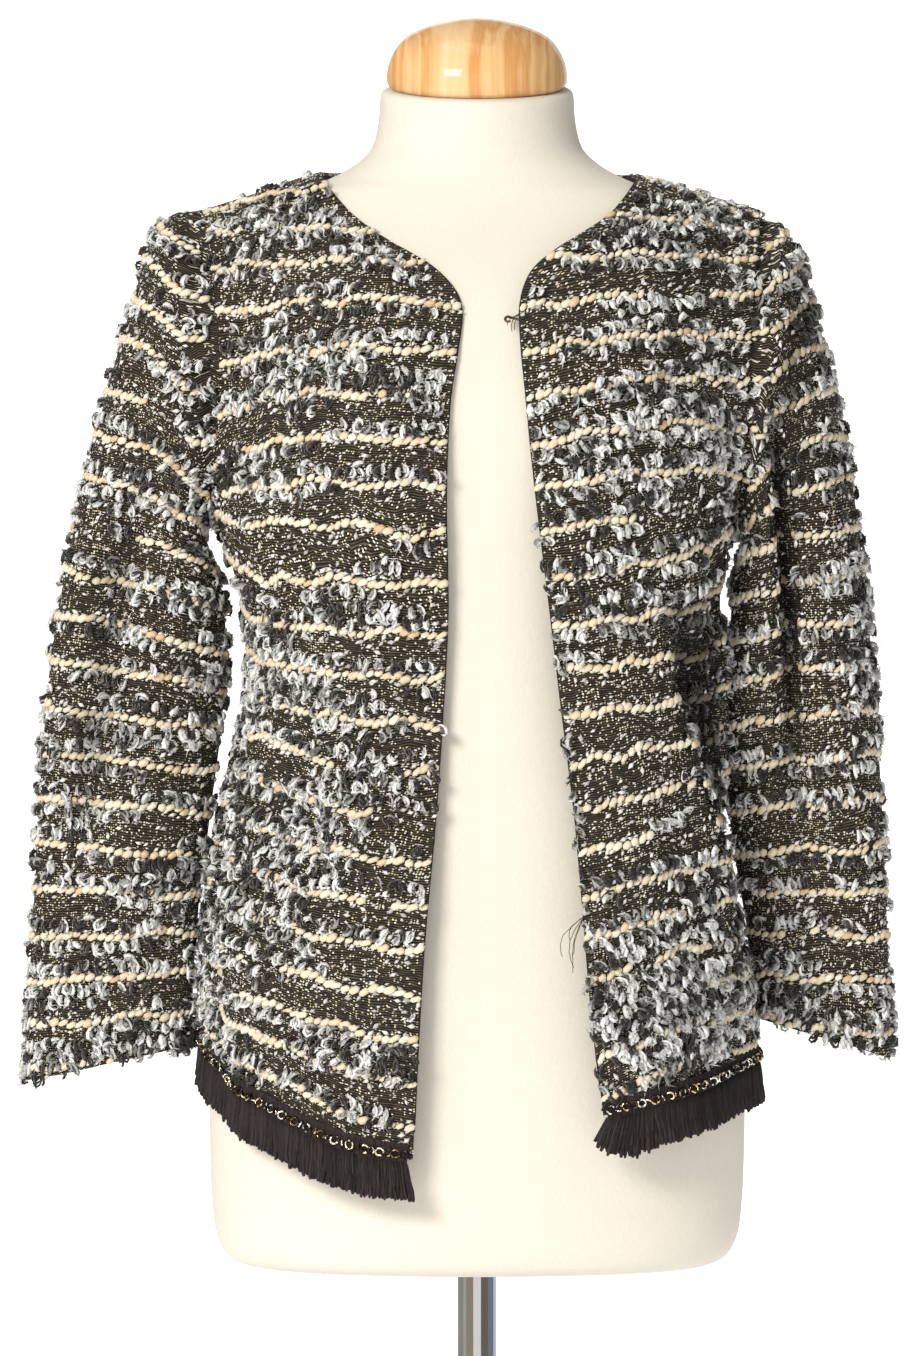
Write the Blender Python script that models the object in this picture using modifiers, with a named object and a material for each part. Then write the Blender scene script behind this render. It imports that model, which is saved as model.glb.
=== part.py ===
"""Collarless open-front boucle jacket worn by a limbless dress form on a short pole stand.

Metres, +Z up. The front of the jacket faces -Y and the wearer's left is +X.
The origin is the middle of the base plate's underside, under the pole's axis.
"""

import math
from collections import namedtuple

import bmesh
import bpy
import numpy as np
from mathutils import Vector
from mathutils.bvhtree import BVHTree

MM = 0.001
SEAM_GAP = 0.3 * MM

# Columns of the tables, in millimetres; a fold's places are shares across the panel and stations up it
FormRow = namedtuple("FormRow", "height half_width front back squareness")
CapRow = namedtuple("CapRow", "radius height")
Point = namedtuple("Point", "x y height")
MiddleRow = namedtuple("MiddleRow", "y height")
SleeveRow = namedtuple("SleeveRow", "outer_x outer_height inner_x inner_height half_depth y")
Fold = namedtuple("Fold", "start_share end_share first_station last_station depth width_share")


def table(row_type, *rows):
    return tuple(row_type(*row) for row in rows)


# Stand
BASE_RADIUS = 155 * MM
BASE_THICK = 8 * MM
BASE_BEVEL = 2 * MM
COLLAR_RADIUS = 29 * MM
COLLAR_TOP_RADIUS = 17 * MM
COLLAR_HEIGHT = 26 * MM
COLLAR_WAIST = 2 * MM
COLLAR_FOOT = 5 * MM
POLE_RADIUS = 12.5 * MM
POLE_CLEARANCE = 0.4 * MM
SOCKET_DEPTH = 60 * MM
CUTTER_LENGTH = 80 * MM
PLATE_SIDES = 48
POLE_SIDES = 32

# All the tables below measure height from this level, a little under the dress form
TABLE_LEVEL = 250 * MM

# Dress form
FORM_ROWS = table(
    FormRow,
    (11, 149, 87, 91, 2.3),
    (15, 158, 95, 99, 2.3),
    (25, 165, 101, 105, 2.3),
    (46, 169, 105, 110, 2.3),
    (100, 171, 106, 116, 2.3),
    (180, 170, 107, 119, 2.3),
    (260, 157, 104, 108, 2.25),
    (340, 131, 101, 88, 2.2),
    (400, 119, 100, 76, 2.2),
    (450, 127, 103, 80, 2.2),
    (500, 140, 109, 88, 2.3),
    (545, 150, 112, 96, 2.4),
    (590, 158, 107, 103, 2.5),
    (620, 163, 99, 104, 2.5),
    (645, 165, 86, 97, 2.5),
    (662, 162, 75, 89, 2.4),
    (676, 154, 67, 82, 2.3),
    (684, 144, 63, 78, 2.2),
    (692, 127, 60, 74, 2.1),
    (699, 104, 58, 71, 2.0),
    (709, 83, 57, 67, 2.0),
    (722, 68, 56, 63, 2.0),
    (740, 63, 57, 61, 2.0),
    (755, 62, 58, 60, 2.0),
    (759.5, 60.5, 57, 58.5, 2.0),
    (761, 57, 54, 55, 2.0),
)
NECK_TILT = 0.237
NECK_TILT_FROM = 700
NECK_TOP = 761
BUST_RISE = 9
BUST_X = 72
BUST_HEIGHT = 548
BUST_WIDE = 44
BUST_TALL = 52
FORM_SIDES = 28

# The finer copy of the form that the cloth is rested on
FINE_SIDES = 96
FINE_RINGS_PER_ROW = 3

# Turned neck cap, from its underside up
CAP_ROWS = table(
    CapRow,
    (54.5, 0),
    (57.0, 2.5),
    (57.8, 7),
    (56.4, 16),
    (51.5, 26),
    (44.5, 33),
    (32, 38.8),
    (20, 42),
    (9, 43.8),
    (0, 44.2),
)
CAP_SIDES = 24

# Cloth
CLOTH = 2.5 * MM
REST_GAP = 1.2 * MM
FACE_GAP = 1.0 * MM
FACE_TESTS = (
    (0.5, 0.5),
    (0, 0.5),
    (0.5, 0),
    (0.25, 0.25),
    (0.75, 0.25),
    (0.25, 0.75),
    (0.75, 0.75),
)
SHOULDER_LEVELLING = np.array([1, 0.2, 1])
CLEAR_ROUNDS = 5
CLEAR_PUSH = 1.1
ARMHOLE_TURN = 2.4 * MM
ARMHOLE_LIFT = 1 * MM
ARMPIT_LIFT = 5 * MM

# Stations climb from the hem (0) to the underarm (6) and on to the shoulder seam (14)
UNDERARM = 6
SHOULDER = 14
RIGHT_FRONT_EDGE = table(
    Point,
    (-40, -124, 88),
    (-37, -124, 155),
    (-33, -121, 222),
    (-27, -116, 289),
    (-22, -113, 362),
    (-19, -116, 425),
    (-20, -124, 485),
    (-19, -126, 530),
    (-16, -122, 575),
    (-10, -111, 612),
    (-24, -99, 638),
    (-48, -86, 655),
    (-72, -69, 669),
    (-92, -42, 687),
    (-99, -3, 705),
)
LEFT_FRONT_EDGE = table(
    Point,
    (77, -124, 115),
    (70, -125, 176),
    (65, -121, 237),
    (59.5, -117, 300),
    (51.5, -113, 366),
    (44.5, -116, 425),
    (37, -124, 485),
    (32, -126, 530),
    (28, -122, 575),
    (25.5, -111, 610),
    (33, -102, 635),
    (52, -89, 652),
    (75, -72, 667),
    (94, -44, 684),
    (101, -3, 703),
)
RIGHT_SIDE_FRONT = table(
    Point,
    (-172, 5, 153),
    (-172, 5, 204),
    (-168, 5, 259),
    (-157, 5, 315),
    (-145, 5, 370),
    (-146, 4, 425),
    (-164, 3, 485),
    (-165, -24, 498),
    (-163, -42, 524),
    (-161, -50, 556),
    (-161, -51, 590),
    (-164, -45, 621),
    (-168, -34, 648),
    (-172, -19, 669),
    (-175, -2, 681),
)
RIGHT_SIDE_BACK = RIGHT_SIDE_FRONT[: UNDERARM + 1] + table(
    Point,
    (-165, 28, 497),
    (-165, 46, 522),
    (-165, 55, 555),
    (-166, 57, 590),
    (-168, 50, 622),
    (-170, 38, 649),
    (-173, 20, 669),
    (-175, -2, 681),
)
LEFT_SIDE_FRONT = table(
    Point,
    (167, 8, 146),
    (166, 8, 198),
    (158, 8, 256),
    (151, 7, 315),
    (148, 6, 370),
    (150, 4, 425),
    (160, 3, 478),
    (162, -24, 492),
    (165, -42, 520),
    (168, -50, 553),
    (170, -51, 588),
    (173, -45, 620),
    (176, -34, 648),
    (179, -19, 669),
    (181, -2, 681),
)
LEFT_SIDE_BACK = LEFT_SIDE_FRONT[: UNDERARM + 1] + table(
    Point,
    (163, 28, 492),
    (165, 46, 518),
    (168, 55, 553),
    (170, 57, 588),
    (173, 50, 620),
    (176, 38, 649),
    (179, 20, 669),
    (181, -2, 681),
)
BACK_MIDDLE = table(
    MiddleRow,
    (127, 146),
    (130, 200),
    (125, 257),
    (111, 315),
    (99, 370),
    (96, 425),
    (101, 485),
    (107, 530),
    (111, 575),
    (112, 612),
    (108, 641),
    (101, 664),
    (92, 684),
    (82, 702),
    (73, 717),
)
# How late each section's height rises from its front edge or middle towards its side
RIGHT_RISE = (1.45, 1.35, 1.2, 1.1)
LEFT_RISE = (0.95,)
# How far round the side seam each section has turned when it gets there
TURN_AT_SIDE = (90, 90, 90, 90, 90, 90, 90, 82, 72, 64, 56, 47, 36, 22, 0)
ROUND_PULL = 0.62
NECK_SHARE = 0.56

# Sleeves: the outer and inner ends of each section, its half depth and how far back it lies
RIGHT_SLEEVE = table(
    SleeveRow,
    (-193, 679, -172, 485, 56, 0),
    (-206, 663, -176, 480, 55, 0),
    (-215, 634, -178, 470, 53, 0),
    (-229, 586, -174, 454, 51, -1),
    (-244, 529, -170, 428, 48, -2),
    (-258, 466, -169, 396, 43, -3),
    (-270, 396, -171, 352, 37, -4),
    (-276, 326, -176, 300, 32, -4),
    (-280, 256, -180, 244, 28, -3),
    (-284, 190, -184, 192, 25, -2),
    (-287, 132, -185, 151, 23, 0),
)
LEFT_SLEEVE = table(
    SleeveRow,
    (195, 678, 169, 478, 56, 0),
    (208, 658, 172, 472, 55, 2),
    (219, 626, 172, 462, 53, 4),
    (231, 576, 170, 442, 51, 8),
    (243, 516, 170, 414, 47, 12),
    (252, 452, 168, 382, 43, 18),
    (258, 388, 169, 338, 38, 24),
    (263, 322, 170, 292, 33, 28),
    (266, 256, 175, 240, 28, 29),
    (268, 192, 180, 190, 25, 28),
    (269, 144, 184, 166, 23, 27),
)
SLEEVE_ROWS_PER_STATION = (1, 1, 1, 2, 2, 2, 2, 2, 2, 1)
END_FADE = 0.75

# Creases; a negative depth is a trough, and one that starts at the hem fades upwards only
RIGHT_FRONT_FOLDS = table(
    Fold,
    (0.74, 0.80, 0.0, 3.6, -11, 0.075),
    (0.56, 0.60, 0.4, 3.8, 6, 0.10),
)
LEFT_FRONT_FOLDS = table(
    Fold,
    (0.88, 0.75, 1.2, 6.0, -20, 0.075),
    (0.75, 0.52, 0.6, 5.6, 9, 0.10),
    (0.86, 0.84, -0.8, 1.6, 11, 0.12),
)
BACK_FOLDS = table(
    Fold,
    (0.24, 0.30, 0.0, 4.6, -8, 0.035),
    (0.74, 0.69, 0.0, 4.9, -9, 0.035),
    (0.49, 0.52, 0.0, 3.4, 7, 0.06),
)
RIGHT_SLEEVE_FOLDS = table(
    Fold,
    (0.30, 0.16, 1.5, 6.5, -8, 0.05),
    (0.34, 0.22, 7.0, 11.0, -4, 0.06),
)
LEFT_SLEEVE_FOLDS = table(
    Fold,
    (0.29, 0.29, 0.2, 8.2, -17, 0.045),
    (0.72, 0.76, 2.0, 8.0, -8, 0.05),
)

# Grid sizes of the cloth walls
LOWER_ROWS = 12
UPPER_ROWS = 10
FRONT_COLUMNS = 12
BACK_COLUMNS = 24

# Hem trim
TAPE_HEIGHT = 13.5 * MM
TAPE_DROP = 4 * MM
TAPE_THICK = 1.4 * MM
TAPE_GAP = 0.4 * MM
TAPE_END_SHARE = 0.35
STRANDS_PER_COLUMN = 5
STRAND_LENGTH = 23 * MM
STRAND_VARIATION = 2.5 * MM
STRAND_TIP_SHARE = 0.45
STRAND_HANG = 0.4
STRAND_LIFT = 0.04
LEFT_CORNER_FLARE = 0.6
FLARE_REACH = 30 * MM
CHAIN_LOW_SHARE = 0.24
CHAIN_HIGH_SHARE = 0.48
CHAIN_THICK = 1.3 * MM

# Hook at the neck, on the wearer's left front edge
HOOK_WIRE = 0.55 * MM
HOOK_SIDES = 8
HOOK_SHADE_ANGLE = 60
HOOK_HEIGHT = 607 * MM
EYE_X = 4.5
EYE_RADIUS = 2.0
SHANK = [(1.0, -0.6, -0.1), (-4.0, -0.3, -0.2)]
CURL_X = -6.6
CURL_HEIGHT = -2.2
CURL_RADIUS = 1.9
CURL_RISE = 0.28

MERGE_DISTANCE = 0.01 * MM

CREAM_JERSEY = (0.86, 0.80, 0.69)
PINE = (0.78, 0.50, 0.22)
CHROME = (0.62, 0.62, 0.63)
TWEED = (0.16, 0.155, 0.15)
FRINGE = (0.028, 0.022, 0.022)
BRASS = (0.62, 0.50, 0.30)


def clear_scene():
    for thing in list(bpy.data.objects):
        bpy.data.objects.remove(thing, do_unlink=True)


def collection(name):
    made = bpy.data.collections.new(name)
    bpy.context.scene.collection.children.link(made)
    return made


def material(name, colour, roughness, metallic=0.0):
    made = bpy.data.materials.new(name)
    made.use_nodes = True
    shader = made.node_tree.nodes["Principled BSDF"]
    shader.inputs["Base Color"].default_value = (*colour, 1)
    shader.inputs["Roughness"].default_value = roughness
    shader.inputs["Metallic"].default_value = metallic
    return made


def add_object(name, mesh, group, finish):
    made = bpy.data.objects.new(name, mesh)
    mesh.materials.append(finish)
    group.objects.link(made)
    return made


def shade(mesh, angle_degrees=40):
    mesh.shade_smooth()
    mesh.set_sharp_from_angle(angle=math.radians(angle_degrees))


def between(low, high, share):
    return low + (high - low) * share


def smooth_step(value, low, high):
    share = np.clip((value - low) / (high - low), 0, 1)
    return share * share * (3 - 2 * share)


def spline(rows, at):
    """Catmull-Rom through rows, one row for each whole station, read at the stations in at."""
    rows = np.asarray(rows, float)
    at = np.clip(np.asarray(at, float), 0, len(rows) - 1)
    low = np.minimum(at.astype(int), len(rows) - 2)
    share = (at - low).reshape(-1, *([1] * (rows.ndim - 1)))
    before = np.where(
        (low > 0).reshape(share.shape), rows[np.maximum(low - 1, 0)], 2 * rows[low] - rows[low + 1]
    )
    last = low + 2 < len(rows)
    after = np.where(
        last.reshape(share.shape),
        rows[np.minimum(low + 2, len(rows) - 1)],
        2 * rows[low + 1] - rows[low],
    )
    start, end = rows[low], rows[low + 1]
    return 0.5 * (
        2 * start
        + (end - before) * share
        + (2 * before - 5 * start + 4 * end - after) * share**2
        + (3 * start - before - 3 * end + after) * share**3
    )


def to_frame(points):
    """Points with heights above the tables' level, as metres in the part's frame."""
    return np.asarray(points, float) * MM + np.array([0, 0, TABLE_LEVEL])


def form_section(row, angles):
    """One ring of the dress form: angle 0 faces the front and a quarter turn faces +X."""
    across, along = np.sin(angles), np.cos(angles)
    power = 2 / row.squareness
    x = row.half_width * np.sign(across) * np.abs(across) ** power
    depth = np.where(along > 0, row.front, row.back)
    y = -depth * np.sign(along) * np.abs(along) ** power
    rise = BUST_RISE * np.exp(-(((row.height - BUST_HEIGHT) / BUST_TALL) ** 2))
    y -= rise * np.exp(-(((np.abs(x) - BUST_X) / BUST_WIDE) ** 2)) * np.clip(along, 0, 1)
    tilt = NECK_TILT * smooth_step(row.height, NECK_TILT_FROM, NECK_TOP)
    return to_frame(np.stack([x, y, row.height + tilt * y], axis=-1))


def form_rings(rings_per_row, sides):
    """Rings of the dress form from its underside to the neck, rings_per_row for each row of its table."""
    at = np.linspace(0, len(FORM_ROWS) - 1, (len(FORM_ROWS) - 1) * rings_per_row + 1)
    angles = np.linspace(0, 2 * math.pi, sides, endpoint=False)
    return [form_section(FormRow(*row), angles) for row in spline(FORM_ROWS, at)]


def tree_of(rings):
    """A search tree over the rings' skin, for resting cloth on it."""
    sides = len(rings[0])
    points = np.concatenate(rings)
    faces = [
        (
            k * sides + i,
            k * sides + (i + 1) % sides,
            (k + 1) * sides + (i + 1) % sides,
            (k + 1) * sides + i,
        )
        for k in range(len(rings) - 1)
        for i in range(sides)
    ]
    return BVHTree.FromPolygons([Vector(p) for p in points], faces)


def rest_on(points, tree, gap):
    """Moves out every point that lies inside what tree holds, or nearer to it than gap."""
    flat = points.reshape(-1, 3).copy()
    for index, point in enumerate(flat):
        near, normal, _, distance = tree.find_nearest(Vector(point))
        away = Vector(point) - near
        outside = away.dot(normal) > 0
        if not outside or distance < gap:
            direction = away.normalized() if outside and distance > gap / 2 else normal
            flat[index] = near + direction * gap
    return flat.reshape(points.shape)


def keep_clear(grid, tree, gap):
    """Moves a grid's points out until its faces and edges are gap clear of what tree holds too."""
    corner_sets = (
        (slice(0, -1), slice(0, -1)),
        (slice(0, -1), slice(1, None)),
        (slice(1, None), slice(0, -1)),
        (slice(1, None), slice(1, None)),
    )
    for _ in range(CLEAR_ROUNDS):
        push = np.zeros_like(grid)
        corners = [grid[rows, columns] for rows, columns in corner_sets]
        for u, v in FACE_TESTS:
            shares = ((1 - u) * (1 - v), u * (1 - v), (1 - u) * v, u * v)
            tested = sum(share * corner for share, corner in zip(shares, corners))
            shift = rest_on(tested, tree, gap) - tested
            for share, (rows, columns) in zip(shares, corner_sets):
                held = push[rows, columns]
                longer = np.linalg.norm(shift, axis=-1) > np.linalg.norm(held, axis=-1)
                held[longer & (share > 0)] = shift[longer & (share > 0)]
        grid = grid + CLEAR_PUSH * push
    return grid


def section_curve(front, side, turn_degrees, shares, rise=1.0):
    """A quarter section from a panel's edge or middle to its side, turned by turn_degrees there."""
    front, side = np.asarray(front, float), np.asarray(side, float)
    span = side - front
    turn = math.radians(turn_degrees)
    first = front + np.array([ROUND_PULL * span[0], 0, 0])
    second = side - ROUND_PULL * np.array([math.cos(turn), math.sin(turn), 0]) * span
    if turn_degrees == 0:
        first, second = front + span / 3, side - span / 3
    s = np.asarray(shares, float)[:, None]
    curve = (
        (1 - s) ** 3 * front
        + 3 * (1 - s) ** 2 * s * first
        + 3 * (1 - s) * s**2 * second
        + s**3 * side
    )
    curve[:, 2] = front[2] + span[2] * s[:, 0] ** rise
    return curve


def front_grid(edge, sides, rises, stations, shares):
    """Points of a front panel: one row for each station, from the front edge to the side."""
    rows = []
    for k in range(SHOULDER + 1):
        rise = rises[k] if k < len(rises) else 1.0
        rows.append(section_curve(edge[k], sides[k], TURN_AT_SIDE[k], shares, rise))
    return to_frame(spline(np.array(rows), stations))


def back_row(k, shares):
    """One section of the back, from the wearer's right side to the left."""
    depth, height = BACK_MIDDLE[k]
    middle = (0, depth, height)
    halves = []
    for sides, edge in ((RIGHT_SIDE_BACK, RIGHT_FRONT_EDGE), (LEFT_SIDE_BACK, LEFT_FRONT_EDGE)):
        out = np.abs(shares[shares < 0] if sides is RIGHT_SIDE_BACK else shares[shares >= 0])
        if k < SHOULDER:
            halves.append(section_curve(middle, sides[k], TURN_AT_SIDE[k], out))
            continue
        neck, tip = np.array(edge[k], float), np.array(sides[k], float)
        collar = section_curve(middle, neck, 90, np.clip(out / NECK_SHARE, 0, 1))
        seam = neck + (tip - neck) * np.clip((out - NECK_SHARE) / (1 - NECK_SHARE), 0, 1)[:, None]
        halves.append(np.where((out < NECK_SHARE)[:, None], collar, seam))
    return np.concatenate(halves)


def back_grid(stations, shares):
    rows = [back_row(k, shares) for k in range(SHOULDER + 1)]
    return to_frame(spline(np.array(rows), stations))


def sleeve_grid(rows, stations, sides):
    """Rings of a sleeve from the armhole to the cuff. Each runs shoulder, front, underarm, back."""
    angles = np.linspace(0, 2 * math.pi, sides, endpoint=False)
    rings = []
    for row in rows:
        outer = to_frame((row.outer_x, row.y, row.outer_height))
        inner = to_frame((row.inner_x, row.y, row.inner_height))
        middle, arm = (outer + inner) / 2, (outer - inner) / 2
        depth = np.array([0, -row.half_depth * MM, 0])
        rings.append(middle + np.cos(angles)[:, None] * arm + np.sin(angles)[:, None] * depth)
    return spline(rings, stations)


def unit(vectors):
    return vectors / np.linalg.norm(vectors, axis=-1, keepdims=True)


def normals_of(grid, closed):
    """Unit normals of a grid of points, facing out of the body."""
    if closed:
        along_u = np.roll(grid, -1, axis=1) - np.roll(grid, 1, axis=1)
    else:
        along_u = np.gradient(grid, axis=1)
    along_t = np.gradient(grid, axis=0)
    made = unit(np.cross(along_u, along_t))
    if closed:
        middle = grid.mean(axis=1, keepdims=True)
        made *= np.sign(np.sum(made * (grid - middle)))
    return made


def crease(grid, normals, folds, stations, shares, closed=False):
    """Moves points along their normals by the panel's folds."""
    shift = np.zeros(grid.shape[:2])
    for fold in folds:
        length = fold.last_station - fold.first_station
        along = np.clip((stations - fold.first_station) / length, 0, 1)
        fade = np.sin(math.pi * along) ** END_FADE
        if fold.first_station <= 0:
            fade = np.cos(math.pi / 2 * along) ** END_FADE
        middle = between(fold.start_share, fold.end_share, along)
        away = shares[None, :] - middle[:, None]
        if closed:
            away = (away + 0.5) % 1 - 0.5
        shift += fold.depth * MM * fade[:, None] * np.exp(-((away / fold.width_share) ** 2))
    return grid + normals * shift[..., None]


def two_triangles(faces, a, b, c, d):
    faces.append((a, b, c))
    faces.append((a, c, d))


def wall_mesh(name, inner, outer, closed):
    """A closed wall between two grids of points; closed says that the grid runs right round."""
    rows, columns = inner.shape[:2]
    count = rows * columns
    points = np.concatenate([inner.reshape(-1, 3), outer.reshape(-1, 3)])
    faces = []
    across = columns if closed else columns - 1
    for r in range(rows - 1):
        for c in range(across):
            n = (c + 1) % columns
            a, b = r * columns + c, r * columns + n
            d, e = (r + 1) * columns + c, (r + 1) * columns + n
            two_triangles(faces, a, d, e, b)
            two_triangles(faces, count + a, count + b, count + e, count + d)
    for c in range(across):
        n = (c + 1) % columns
        top = (rows - 1) * columns
        faces.append((c, n, count + n, count + c))
        faces.append((top + c, count + top + c, count + top + n, top + n))
    if not closed:
        for r in range(rows - 1):
            a, b = r * columns, (r + 1) * columns
            faces.append((a, count + a, count + b, b))
            a, b = a + columns - 1, b + columns - 1
            faces.append((a, b, count + b, count + a))
    mesh = bpy.data.meshes.new(name)
    mesh.from_pydata(points.tolist(), [], faces)
    face_outwards(mesh)
    return mesh


def face_outwards(mesh):
    work = bmesh.new()
    work.from_mesh(mesh)
    bmesh.ops.recalc_face_normals(work, faces=work.faces)
    if work.calc_volume(signed=True) < 0:
        bmesh.ops.reverse_faces(work, faces=work.faces)
    work.to_mesh(mesh)
    work.free()


def loft_mesh(name, rings):
    """A closed skin over rings, with a flat face at each end."""
    sides = len(rings[0])
    faces = []
    for k in range(len(rings) - 1):
        for i in range(sides):
            n = (i + 1) % sides
            faces.append((k * sides + i, k * sides + n, (k + 1) * sides + n, (k + 1) * sides + i))
    faces.append(tuple(range(sides))[::-1])
    faces.append(tuple((len(rings) - 1) * sides + i for i in range(sides)))
    mesh = bpy.data.meshes.new(name)
    mesh.from_pydata(np.concatenate(rings).tolist(), [], faces)
    face_outwards(mesh)
    return mesh


def turned(name, profile, sides, group, finish):
    """A solid of revolution; its (radius, height) points run from the top down its outer side."""
    mesh = bpy.data.meshes.new(name)
    points = [(radius, 0, height) for radius, height in profile]
    edges = [(i, i + 1) for i in range(len(points) - 1)]
    if profile[0][0] > 0 and profile[-1][0] > 0:
        edges.append((len(points) - 1, 0))
    mesh.from_pydata(points, edges, [])
    made = add_object(name, mesh, group, finish)
    screw = made.modifiers.new("turn", "SCREW")
    screw.steps = sides
    screw.render_steps = sides
    screw.use_merge_vertices = True
    screw.merge_threshold = MERGE_DISTANCE
    return made


def build_stand(group, cutters, chrome):
    bevel = BASE_BEVEL
    plate = [
        (0, BASE_THICK),
        (BASE_RADIUS - bevel, BASE_THICK),
        (BASE_RADIUS, BASE_THICK - bevel),
        (BASE_RADIUS, 0),
        (0, 0),
    ]
    turned("base_plate", plate, PLATE_SIDES, group, chrome)
    bore = POLE_RADIUS + POLE_CLEARANCE
    foot = BASE_THICK + SEAM_GAP
    collar = [
        (bore, foot + COLLAR_HEIGHT),
        (COLLAR_TOP_RADIUS, foot + COLLAR_HEIGHT),
        (COLLAR_TOP_RADIUS + COLLAR_WAIST, foot + 0.5 * COLLAR_HEIGHT),
        (COLLAR_RADIUS, foot + COLLAR_FOOT),
        (COLLAR_RADIUS, foot),
        (bore, foot),
    ]
    turned("base_collar", collar, POLE_SIDES, group, chrome)
    underside = TABLE_LEVEL + FORM_ROWS[0].height * MM
    pole_top = underside + SOCKET_DEPTH - SEAM_GAP
    pole = [(0, pole_top), (POLE_RADIUS, pole_top), (POLE_RADIUS, foot), (0, foot)]
    turned("pole", pole, POLE_SIDES, group, chrome)
    bpy.ops.mesh.primitive_cylinder_add(
        vertices=POLE_SIDES,
        radius=bore,
        depth=CUTTER_LENGTH,
        location=(0, 0, underside + SOCKET_DEPTH - CUTTER_LENGTH / 2),
    )
    cutter = bpy.context.object
    cutter.name = "socket_cutter"
    cutter.hide_render = True
    cutter.display_type = "WIRE"
    for owner in list(cutter.users_collection):
        owner.objects.unlink(cutter)
    cutters.objects.link(cutter)
    return cutter


def build_form(group, cutter, jersey, pine):
    mesh = loft_mesh("form_torso", form_rings(1, FORM_SIDES))
    shade(mesh)
    torso = add_object("form_torso", mesh, group, jersey)
    socket = torso.modifiers.new("socket", "BOOLEAN")
    socket.operation = "DIFFERENCE"
    socket.object = cutter
    profile = [(radius * MM, height * MM) for radius, height in reversed(CAP_ROWS)]
    cap = turned("neck_cap", profile + [(0, 0)], CAP_SIDES, group, pine)
    cap.location = (0, 0, TABLE_LEVEL + NECK_TOP * MM + 1.5 * SEAM_GAP)
    cap.rotation_euler = (math.atan(NECK_TILT), 0, 0)


def body_grids(stations, fine, coarse):
    """Inner points of the fronts and the back, lying on the form."""
    front_shares = np.linspace(0, 1, FRONT_COLUMNS + 1)
    back_shares = np.linspace(-1, 1, BACK_COLUMNS + 1)
    right = front_grid(RIGHT_FRONT_EDGE, RIGHT_SIDE_FRONT, RIGHT_RISE, stations, front_shares)
    left = front_grid(LEFT_FRONT_EDGE, LEFT_SIDE_FRONT, LEFT_RISE, stations, front_shares)
    back = back_grid(stations, back_shares)
    panels = (
        ("front_right", right[:, ::-1], RIGHT_FRONT_FOLDS, front_shares[::-1]),
        ("front_left", left, LEFT_FRONT_FOLDS, front_shares),
        ("back", back[:, ::-1], BACK_FOLDS, (back_shares[::-1] + 1) / 2),
    )
    grids = {}
    for name, grid, folds, shares in panels:
        creased = crease(grid, normals_of(grid, False), folds, stations, shares)
        grids[name] = keep_clear(rest_on(creased, fine, REST_GAP), coarse, FACE_GAP)
    join_seams(grids)
    return grids


def seam_columns(side):
    """The front panel's and the back's border columns at one side seam and armhole."""
    return (0, -1) if side == "right" else (-1, 0)


def join_seams(grids):
    """Gives the two panels at each side seam and shoulder tip the same points along it."""
    shared = list(range(LOWER_ROWS + 1)) + [-1]
    for side in ("right", "left"):
        front, back = grids["front_" + side], grids["back"]
        column, other = seam_columns(side)
        middle = (front[shared, column] + back[shared, other]) / 2
        front[shared, column] = middle
        back[shared, other] = middle


def body_directions(grids):
    """The wall direction at every point of the fronts and back, the same on both sides of a seam."""
    directions = {name: normals_of(grid, False) for name, grid in grids.items()}
    for name, made in directions.items():
        made[-1] = (made[-1] + np.array([0, 0, 1])) * SHOULDER_LEVELLING
        directions[name] = unit(made)
    shared = list(range(LOWER_ROWS + 1)) + [-1]
    for side in ("right", "left"):
        front, back = directions["front_" + side], directions["back"]
        column, other = seam_columns(side)
        blend = unit(front[shared, column] + back[shared, other])
        front[shared, column] = blend
        back[shared, other] = blend
    return directions


def armhole_loop(values, side):
    """The armhole border of the body from the shoulder down the front and up the back."""
    column, other = seam_columns(side)
    front = values["front_" + side][LOWER_ROWS:, column]
    back = values["back"][LOWER_ROWS:, other]
    return np.concatenate([front[::-1], back[1:-1]])


def build_sleeve_grid(grids, directions, side, rows, folds):
    """Inner points and wall directions of a sleeve, and of its turn out of the armhole seam."""
    loop = armhole_loop(grids, side)
    out = armhole_loop(directions, side)
    tangent = np.roll(loop, -1, axis=0) - np.roll(loop, 1, axis=0)
    onward = unit(np.cross(tangent, out))
    onward *= np.sign(onward[0, 0]) * np.sign(loop[0, 0])
    stations = [0.0]
    for station, count in enumerate(SLEEVE_ROWS_PER_STATION):
        stations += [station + (i + 1) / count for i in range(count)]
    stations = np.array(stations)
    sleeve = sleeve_grid(rows, stations, len(loop))
    shares = np.linspace(0, 1, len(loop), endpoint=False)
    sleeve = crease(sleeve, normals_of(sleeve, True), folds, stations, shares, closed=True)
    facing = normals_of(sleeve, True)
    turned_back = np.clip(-np.sum(out * facing[0], axis=-1, keepdims=True), 0, 1)
    seam = loop + onward * SEAM_GAP
    first = loop + onward * ARMHOLE_TURN
    crown = (first + sleeve[0]) / 2 + onward * (ARMHOLE_LIFT + ARMPIT_LIFT * turned_back)
    grid = np.concatenate([[seam, first, crown], sleeve])
    return grid, np.concatenate([[out, out, unit(out + facing[0])], facing])


def pull_in(skin, columns):
    """Moves a panel's shoulder border and its side borders half a seam gap back from their seams."""
    sides = slice(LOWER_ROWS + 1)
    for column in columns:
        beside = 1 if column == 0 else -2
        skin[sides, column] += SEAM_GAP / 2 * unit(skin[sides, beside] - skin[sides, column])
    skin[-1] += SEAM_GAP / 2 * unit(skin[-2] - skin[-1])


def add_wall(name, inner, outer, closed, group, finish):
    mesh = wall_mesh(name, inner, outer, closed)
    shade(mesh)
    add_object(name, mesh, group, finish)


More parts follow.
